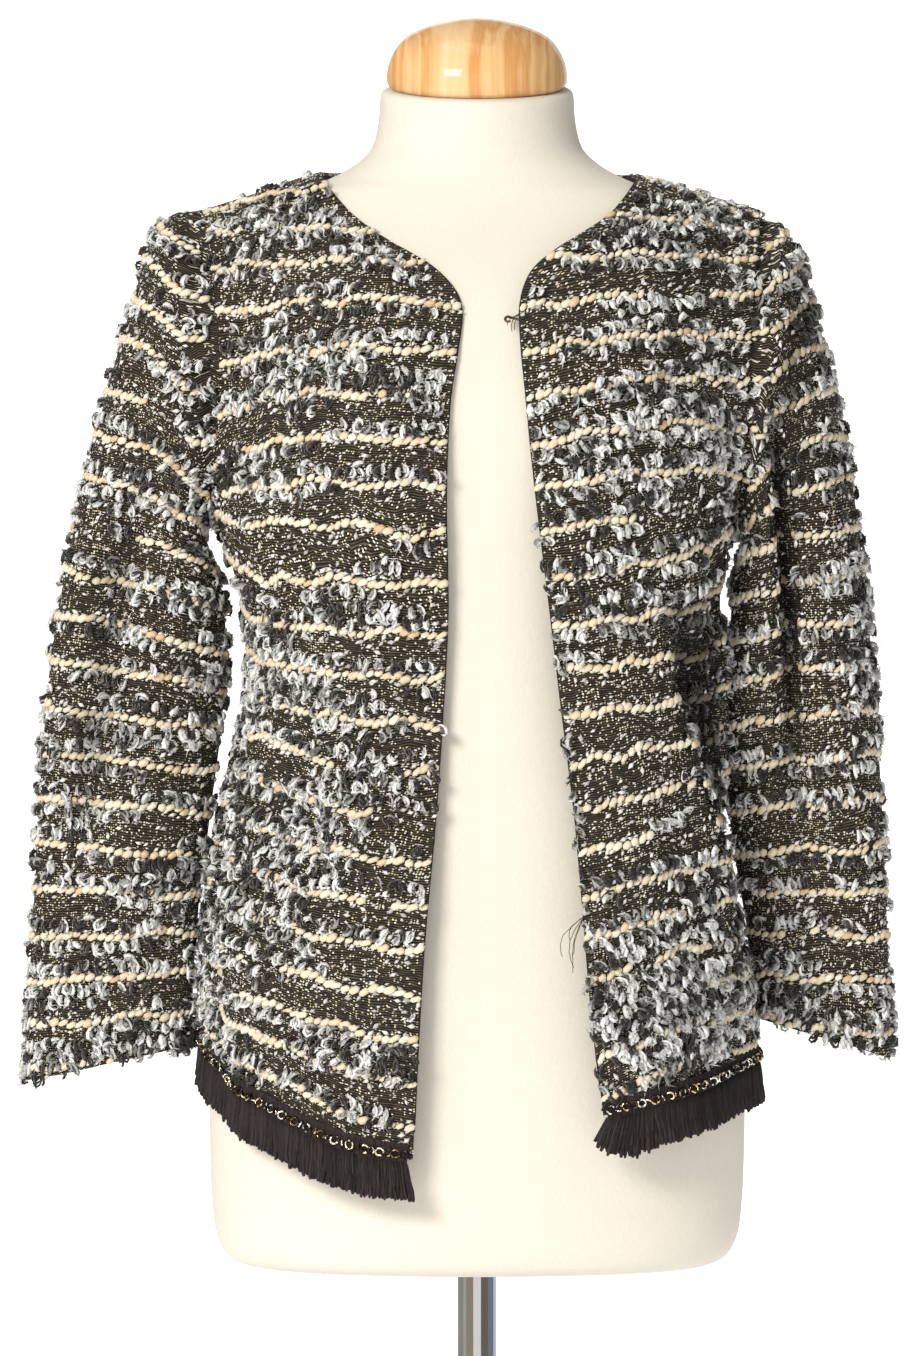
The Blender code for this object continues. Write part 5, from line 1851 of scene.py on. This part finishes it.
class Nodes:
    """A short way to write one material's node tree."""

    def __init__(self, name):
        self.material = bpy.data.materials.new(name)
        self.material.use_nodes = True
        self.tree = self.material.node_tree
        self.shader = self.tree.nodes["Principled BSDF"]

    def add(self, kind, **values):
        node = self.tree.nodes.new(kind)
        for key, value in values.items():
            setattr(node, key, value)
        return node

    def object_place(self):
        return self.add("ShaderNodeTexCoord").outputs["Object"]

    def knit_place(self):
        """Places on the cloth in metres: along the rows and up across them."""
        rows = self.add("ShaderNodeUVMap", uv_map="rows").outputs[0]
        return self.stretched(rows, (1.0, ROW_PERIOD, 1.0))

    def value_at_points(self, title):
        return self.add("ShaderNodeAttribute", attribute_name=title).outputs["Fac"]

    def join(self, source, target):
        if isinstance(source, (int, float, tuple)):
            target.default_value = source
        else:
            self.tree.links.new(source, target)

    def join_colour(self, source, target):
        self.join((*source, 1) if isinstance(source, tuple) else source, target)

    def math(self, operation, first, second=0.0):
        node = self.add("ShaderNodeMath", operation=operation)
        self.join(first, node.inputs[0])
        self.join(second, node.inputs[1])
        return node.outputs[0]

    def sum(self, first, second, factor):
        """The first value and the second times a factor."""
        return self.math("ADD", first, self.math("MULTIPLY", second, factor))

    def mix(self, share, first, second, blend="MIX"):
        node = self.add("ShaderNodeMix", data_type="RGBA", blend_type=blend)
        self.join(share, node.inputs[0])
        # Inputs 6 and 7 are this node's colours, and output 2 is the mixed colour
        self.join_colour(first, node.inputs[6])
        self.join_colour(second, node.inputs[7])
        return node.outputs[2]

    def noise(self, place, scale, detail=2.0, roughness=0.5):
        node = self.add("ShaderNodeTexNoise")
        node.inputs["Scale"].default_value = scale
        node.inputs["Detail"].default_value = detail
        node.inputs["Roughness"].default_value = roughness
        self.tree.links.new(place, node.inputs["Vector"])
        return node.outputs["Fac"]

    def cells(self, place, randomness, reach):
        """Where a cell's middle is nearer than reach, and two chance values for each cell."""
        node = self.add("ShaderNodeTexVoronoi")
        node.inputs["Scale"].default_value = 1.0
        node.inputs["Randomness"].default_value = randomness
        self.tree.links.new(place, node.inputs["Vector"])
        chance = self.add("ShaderNodeSeparateColor")
        self.tree.links.new(node.outputs["Color"], chance.inputs[0])
        near = self.math("LESS_THAN", node.outputs["Distance"], reach)
        return near, chance.outputs[0], chance.outputs[1]

    def level_place(self, along, up):
        node = self.add("ShaderNodeCombineXYZ")
        self.join(along, node.inputs[0])
        self.join(up, node.inputs[1])
        return node.outputs[0]

    def stretched(self, place, scales, shift=(0, 0, 0)):
        node = self.add("ShaderNodeMapping")
        node.inputs["Scale"].default_value = scales
        node.inputs["Location"].default_value = shift
        self.tree.links.new(place, node.inputs["Vector"])
        return node.outputs[0]

    def ramp(self, value, *stops):
        node = self.add("ShaderNodeValToRGB")
        elements = node.color_ramp.elements
        while len(elements) < len(stops):
            elements.new(0.5)
        for element, (at, colour) in zip(elements, stops):
            element.position = at
            element.color = (*colour, 1)
        self.join(value, node.inputs[0])
        return node.outputs[0]

    def bump(self, height, strength, distance):
        node = self.add("ShaderNodeBump")
        node.inputs["Strength"].default_value = strength
        node.inputs["Distance"].default_value = distance
        self.tree.links.new(height, node.inputs["Height"])
        self.tree.links.new(node.outputs[0], self.shader.inputs["Normal"])

    def glow(self, colour, strength):
        self.shader.inputs["Emission Color"].default_value = (*colour, 1)
        self.shader.inputs["Emission Strength"].default_value = strength

    def finish(self, colour, roughness=0.9, metallic=0.0, sheen=0.0, coat=0.0, specular=0.5):
        sockets = self.shader.inputs
        self.join_colour(colour, sockets["Base Color"])
        self.join(roughness, sockets["Roughness"])
        sockets["Metallic"].default_value = metallic
        sockets["Sheen Weight"].default_value = sheen
        sockets["Sheen Roughness"].default_value = SHEEN_ROUGHNESS
        sockets["Sheen Tint"].default_value = SHEEN_TINT
        sockets["Coat Weight"].default_value = coat
        sockets["Coat Roughness"].default_value = COAT_ROUGHNESS
        sockets["Specular IOR Level"].default_value = specular
        return self.material


def knit_material():
    """Near-black courses along the rows with olive and gold lurex, glints and small pale flecks,
    darkened by painted shade in the folds.
    """
    n = Nodes("boucle_ground")
    metres = n.knit_place()
    split = n.add("ShaderNodeSeparateXYZ")
    n.join(metres, split.inputs[0])
    along = split.outputs[0]
    wander = n.math("SUBTRACT", n.noise(metres, 55, 2.0), 0.5)
    height = n.sum(split.outputs[1], wander, COURSE_WANDER)
    level = n.level_place(along, height)
    wave = n.math("SINE", n.math("MULTIPLY", height, 2 * math.pi / COURSE_HEIGHT))
    streaks = n.noise(n.stretched(level, (1 / STREAK_SIZE[0], 1 / STREAK_SIZE[1], 1.0)), 1.0, 2.0)
    yarn = n.ramp(
        n.sum(streaks, wave, 0.30),
        (0.28, (0.005, 0.0045, 0.004)),
        (0.50, (0.015, 0.0125, 0.009)),
        (0.66, (0.040, 0.032, 0.020)),
        (0.84, (0.090, 0.072, 0.042)),
    )
    stitches = n.stretched(level, (1 / STITCH_WIDTH, 1 / COURSE_HEIGHT, 1.0))
    near, chance, gold_share = n.cells(stitches, 0.5, GLINT_REACH)
    patch = n.sum(GLINT_BARE, n.noise(metres, 40, 1.0), 0.9)
    glint = n.math("MULTIPLY", near, n.math("GREATER_THAN", chance, patch))
    specks = n.stretched(level, (1 / FLECK_SIZE[0], 1 / FLECK_SIZE[1], 1.0), FLECK_SHIFT)
    near, chance, _ = n.cells(specks, 1.0, FLECK_REACH)
    fleck = n.math("MULTIPLY", near, n.math("GREATER_THAN", chance, FLECK_FROM))
    fleck = n.math("MAXIMUM", fleck, dashes(n, metres, along, height))
    gold = n.mix(gold_share, (0.50, 0.40, 0.21), (0.86, 0.81, 0.68))
    colour = n.mix(fleck, n.mix(glint, yarn, gold), (0.60, 0.57, 0.53))
    relief = n.sum(n.noise(metres, 1100, 2.0), wave, 0.5)
    n.bump(n.sum(relief, fleck, 1.5), 1.0, 0.0006)
    return n.finish(with_painted_shade(n, colour), n.sum(0.8, glint, -0.4), specular=0.25)


def dashes(n, metres, along, height):
    """Short pale stitches in lines a few courses apart, missing here and there."""
    lines = n.sum(-DASH_START, height, DASH_LINES / ROW_PERIOD)
    off = n.math("SUBTRACT", n.math("FRACT", lines), 0.5)
    shifted = n.sum(n.math("MULTIPLY", along, 1 / DASH_LENGTH), n.math("FLOOR", lines), DASH_SHIFT)
    stitches = n.level_place(shifted, n.math("MULTIPLY", off, ROW_PERIOD / DASH_LINES / DASH_HEIGHT))
    near, chance, _ = n.cells(stitches, DASH_SPREAD, DASH_REACH)
    share = n.math("MULTIPLY", n.noise(metres, DASH_GRAIN, 1.0), DASH_GAPS)
    dash = n.math("MULTIPLY", near, n.math("GREATER_THAN", chance, share))
    return n.math("MULTIPLY", dash, n.math("LESS_THAN", n.math("ABSOLUTE", off), DASH_HALF_HEIGHT))


def with_painted_shade(n, colour):
    """A colour with painted shade: darker in the folds, the tuck and the places listed as shaded."""
    shade = n.ramp(n.value_at_points("hollow_shade"), (0.0, (1, 1, 1)), (1.0, (0.20, 0.195, 0.19)))
    return n.mix(1.0, colour, shade, "MULTIPLY")


def reverse_material():
    n = Nodes("boucle_reverse")
    lines = n.noise(n.stretched(n.knit_place(), (220, 900, 1)), 1.0, 3.0)
    colour = n.ramp(
        lines,
        (0.3, (0.010, 0.009, 0.009)),
        (0.62, (0.045, 0.040, 0.037)),
        (0.8, (0.2, 0.17, 0.12)),
    )
    n.bump(lines, 0.6, 0.0005)
    return n.finish(colour, 0.9)


def rope_material():
    """Cream chunky yarn, here and there whiter or peach, darkened by painted shade in the folds."""
    n = Nodes("cream_cord")
    fibres = n.noise(n.object_place(), 1400, 2.0)
    colour = n.ramp(
        n.value_at_points("tone"),
        (0.0, (0.60, 0.42, 0.25)),
        (0.08, (0.66, 0.55, 0.39)),
        (0.55, (0.70, 0.61, 0.45)),
        (0.95, (0.75, 0.69, 0.56)),
    )
    shade = n.ramp(fibres, (0.3, (0.72, 0.70, 0.66)), (0.7, (1, 1, 1)))
    n.bump(fibres, 0.5, 0.0006)
    colour = n.mix(1.0, colour, shade, "MULTIPLY")
    return n.finish(with_painted_shade(n, colour), 0.95, sheen=0.1, specular=0.2)


def slub_material():
    n = Nodes("white_slub")
    colour = n.ramp(
        n.value_at_points("tone"),
        (0.0, (0.30, 0.285, 0.27)),
        (0.4, (0.50, 0.485, 0.46)),
        (1.0, (0.68, 0.66, 0.63)),
    )
    n.bump(n.noise(n.object_place(), 1500, 2.0), 0.5, 0.0005)
    return n.finish(colour, 0.95, sheen=0.1, specular=0.2)


def curl_material():
    """Brushed marled yarn from charcoal to greyish white, darkened by painted shade in the folds."""
    n = Nodes("boucle_curl")
    place = n.object_place()
    strands = n.noise(n.stretched(place, (1, 1, 0.45)), 800, 3.0, 0.65)
    fuzz = n.noise(place, 2600, 1.0)
    colour = n.ramp(
        n.sum(n.value_at_points("tone"), n.math("SUBTRACT", strands, 0.5), 0.7),
        (0.02, (0.010, 0.009, 0.008)),
        (0.26, (0.036, 0.034, 0.030)),
        (0.50, (0.235, 0.237, 0.23)),
        (0.78, (0.50, 0.505, 0.49)),
        (1.0, (0.71, 0.715, 0.70)),
    )
    n.bump(n.sum(strands, fuzz, 0.6), 0.5, 0.0008)
    return n.finish(with_painted_shade(n, colour), 1.0, sheen=0.3, specular=0.05)


def yarn_material():
    n = Nodes("fringe_yarn")
    fibres = n.noise(n.stretched(n.object_place(), (1, 1, 0.35)), 900, 2.0)
    tone = n.sum(n.math("MULTIPLY", fibres, 0.5), n.value_at_points("tone"), 0.5)
    colour = n.ramp(tone, (0.2, (0.008, 0.0065, 0.006)), (0.8, (0.034, 0.026, 0.024)))
    n.bump(fibres, 0.6, 0.0005)
    return n.finish(colour, 0.85, specular=0.25)


def tape_material():
    n = Nodes("fringe_tape")
    ribs = n.noise(n.stretched(n.object_place(), (1, 1, 0.3)), 1300, 1.0)
    colour = n.ramp(ribs, (0.3, (0.009, 0.007, 0.007)), (0.7, (0.030, 0.023, 0.022)))
    n.bump(ribs, 0.7, 0.0006)
    return n.finish(colour, 0.85, specular=0.25)


def link_material():
    """Pale gold and silvery links, tarnished here and there."""
    n = Nodes("pale_links")
    place = n.object_place()
    bright = n.ramp(
        n.value_at_points("tone"),
        (0.04, (0.20, 0.14, 0.08)),
        (0.12, (0.80, 0.60, 0.30)),
        (0.6, (0.86, 0.74, 0.50)),
        (0.9, (0.92, 0.90, 0.84)),
    )
    tarnish = n.ramp(n.noise(place, 330, 1.0), (0.48, (0, 0, 0)), (0.54, (1, 1, 1)))
    colour = n.mix(tarnish, (0.035, 0.026, 0.018), bright)
    return n.finish(colour, n.sum(0.12, n.noise(place, 500, 2.0), 0.2), 1.0)


def jersey_material():
    """Cream jersey, stretched smooth, with a very fine rib."""
    n = Nodes("cream_jersey")
    place = n.object_place()
    weave = n.noise(n.stretched(place, (1, 1, 0.3)), 1100, 2.0)
    colour = n.mix(n.noise(place, 9, 2.0), (0.60, 0.56, 0.487), (0.625, 0.585, 0.515))
    fine = n.ramp(weave, (0.3, (0.93, 0.93, 0.92)), (0.7, (1, 1, 1)))
    n.bump(weave, 0.15, 0.0004)
    return n.finish(n.mix(1.0, colour, fine, "MULTIPLY"), 0.8, sheen=0.1, specular=0.2)


def pine_material():
    """Varnished pine with upright grain: pale early wood between soft orange bands."""
    n = Nodes("varnished_pine")
    place = n.object_place()
    warped = n.add("ShaderNodeVectorMath", operation="MULTIPLY_ADD")
    n.join(n.noise(place, 12, 2.0), warped.inputs[0])
    n.join((0.010, 0.010, 0.0), warped.inputs[1])
    n.join(place, warped.inputs[2])
    grain = n.noise(n.stretched(warped.outputs[0], (72, 9, 0.5)), 1.0, 1.0)
    fine = n.noise(n.stretched(place, (600, 90, 5)), 1.0, 2.0)
    value = n.sum(n.math("MULTIPLY", grain, 0.88), fine, 0.12)
    colour = n.ramp(
        value,
        (0.36, (0.66, 0.46, 0.26)),
        (0.47, (0.60, 0.38, 0.18)),
        (0.55, (0.50, 0.24, 0.08)),
        (0.62, (0.62, 0.40, 0.19)),
        (0.74, (0.50, 0.25, 0.09)),
    )
    n.bump(value, 0.05, 0.0005)
    return n.finish(colour, 0.6, coat=0.4, specular=0.0)


def chrome_material():
    """Polished metal with faint smears and fine upright wear."""
    n = Nodes("polished_chrome")
    place = n.object_place()
    wear = n.noise(n.stretched(place, (60, 60, 4)), 1.0, 4.0)
    colour = n.mix(n.noise(place, 35, 3.0), (0.58, 0.58, 0.59), (0.67, 0.67, 0.68))
    return n.finish(colour, n.sum(0.05, wear, 0.07), 1.0)


def paper_material(name, glow):
    """Pale paper for the floor and the backdrop."""
    n = Nodes(name)
    colour = n.mix(n.noise(n.object_place(), 3, 2.0), (0.93, 0.93, 0.93), (0.95, 0.95, 0.95))
    n.glow((1, 1, 1), glow)
    return n.finish(colour, 0.9, specular=0.1)


def card_material(name, tone):
    n = Nodes(name)
    n.glow(tone, 1.0)
    return n.finish((0.0, 0.0, 0.0), 1.0, specular=0.0)


def turned_sheet(name, profile, sides, finish):
    """An open sheet turned round the upright axis from its (radius, height) points."""
    points = np.concatenate(circles(profile, sides))
    return mesh_piece(name, points, bands(len(profile), sides), finish)


def backdrop():
    """A round floor, and a pale wall that curves up far off on all sides and lights nothing."""
    paper = paper_material("pale_floor", FLOOR_GLOW)
    floor = turned_sheet("paper_floor", [(FLOOR_HOLE, 0), (FLOOR_RADIUS, 0)], PAPER_SIDES, paper)
    foot = WALL_RADIUS - WALL_CURVE
    profile = [(FLOOR_RADIUS, 0)]
    for turn in np.linspace(0, math.pi / 2, WALL_STEPS):
        profile.append((foot + WALL_CURVE * math.sin(turn), WALL_CURVE * (1 - math.cos(turn))))
    profile.append((WALL_RADIUS, WALL_HEIGHT))
    paper = paper_material("pale_backdrop", BACKDROP_GLOW)
    far_wall = turned_sheet("paper_backdrop", profile, PAPER_SIDES, paper)
    far_wall.visible_diffuse = False
    far_wall.visible_glossy = False
    far_wall.visible_shadow = False


def cards():
    """Toned cards round the foot of the stand, for its chrome to reflect."""
    for number, (start, end, tone) in enumerate(CARDS):
        turns = np.radians(np.linspace(start, end, CARD_STEPS + 1))
        ring = CARD_RADIUS * np.stack([np.sin(turns), -np.cos(turns)], axis=1)
        points = [(x, y, z) for z in (MM, CARD_HEIGHT) for x, y in ring]
        faces = [(k, k + 1, k + CARD_STEPS + 2, k + CARD_STEPS + 1) for k in range(CARD_STEPS)]
        card = mesh_piece(f"card_{number}", points, faces, card_material(f"card_tone_{number}", tone))
        card.visible_camera = False
        card.visible_diffuse = False
        card.visible_shadow = False


def area_light(name, place, target, size, power, colour=(1, 1, 1)):
    lamp = bpy.data.lights.new(name, "AREA")
    lamp.shape = "RECTANGLE"
    lamp.size, lamp.size_y = size
    lamp.energy = power
    lamp.color = colour
    made = bpy.data.objects.new(name, lamp)
    made.location = place
    made.rotation_euler = (Vector(target) - Vector(place)).to_track_quat("-Z", "Y").to_euler()
    bpy.context.scene.collection.objects.link(made)


def set_up_studio():
    scene = bpy.context.scene
    scene.view_settings.view_transform = "Standard"
    world = bpy.data.worlds.new("studio")
    world.use_nodes = True
    world.node_tree.nodes["Background"].inputs[0].default_value = WORLD_TINT
    world.node_tree.nodes["Background"].inputs[1].default_value = WORLD_GLOW
    scene.world = world
    backdrop()
    cards()
    for light in LIGHTS:
        area_light(*light)
    lens = bpy.data.cameras.new("view")
    lens.sensor_fit = "VERTICAL"
    lens.sensor_height = SENSOR
    lens.lens = SENSOR * CAMERA_DISTANCE / FRAME_HEIGHT
    camera = bpy.data.objects.new("view", lens)
    camera.location = (CAMERA_X, -CAMERA_DISTANCE, CAMERA_HEIGHT)
    camera.rotation_euler = (math.pi / 2, 0, 0)
    scene.collection.objects.link(camera)
    scene.camera = camera


def ride(piece, slot, *nodes):
    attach(piece, "root")
    if nodes:
        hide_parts(*nodes)
    return piece


def dress(panels):
    """Builds everything that shows of the jacket."""
    knit, reverse, cream, slub = knit_material(), reverse_material(), rope_material(), slub_material()
    curl, yarn, tape, link = curl_material(), yarn_material(), tape_material(), link_material()
    for number, (name, panel) in enumerate(panels.items()):
        rng = np.random.default_rng(SEED + number)
        shell = ride(shell_piece(panel, knit, reverse), "boucle", name)
        extra = [
            ride(rope_piece(panel, cream, rng), "boucle"),
            ride(speck_piece(panel, slub, rng), "boucle"),
            ride(tuft_piece(panel, curl, rng), "boucle"),
        ]
        if not panel.closed:
            under = tree_of_mesh(shell.data)
            band = ride(tape_piece(panel, under, tape), "fringe")
            extra += [
                band,
                ride(fringe_piece(panel, yarn, rng), "fringe", "fringe_" + name),
                ride(chain_piece(panel, under, link, rng), "chain", "chain_" + name),
            ]
        if name.startswith("front"):
            extra.append(ride(binding_piece(panel, tape), "boucle"))
        if name == "front_left":
            extra.append(ride(hook_piece(panel, link), "hook", "neck_hook"))
            extra.append(ride(thread_piece(panel, yarn, rng), "fringe"))
        width, length, area = CUTS[name]


def tree_of_mesh(mesh):
    return BVHTree.FromPolygons(
        [vertex.co for vertex in mesh.vertices], [tuple(face.vertices) for face in mesh.polygons]
    )


def build_form():
    ride(torso_piece(jersey_material()), "jersey", "form_torso")
    rows = np.array(CAP_ROWS)[::-1]
    fine = spline(rows, np.linspace(0, len(rows) - 1, CAP_STEPS * len(rows))) * MM
    fine = fine[fine[:, 0] > CAP_TIP]
    profile = np.concatenate([[[0, rows[0][1] * MM]], fine, [[0, 0]]])
    cap = turned_piece("cap_pine", profile, CAP_SIDES, pine_material())
    place = Matrix.Translation((0, 0, TABLE_LEVEL + NECK_TOP * MM + CAP_GAP))
    cap.data.transform(place @ Matrix.Rotation(math.atan(NECK_TILT), 4, "X"))
    ride(cap, "pine", "neck_cap")
    chrome = chrome_material()
    for name in ("pole", "base_collar", "base_plate"):
        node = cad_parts[name]
        node.data.materials.clear()
        node.data.materials.append(chrome)


def main():
    set_up_studio()
    build_form()
    dress(build_panels())


main()
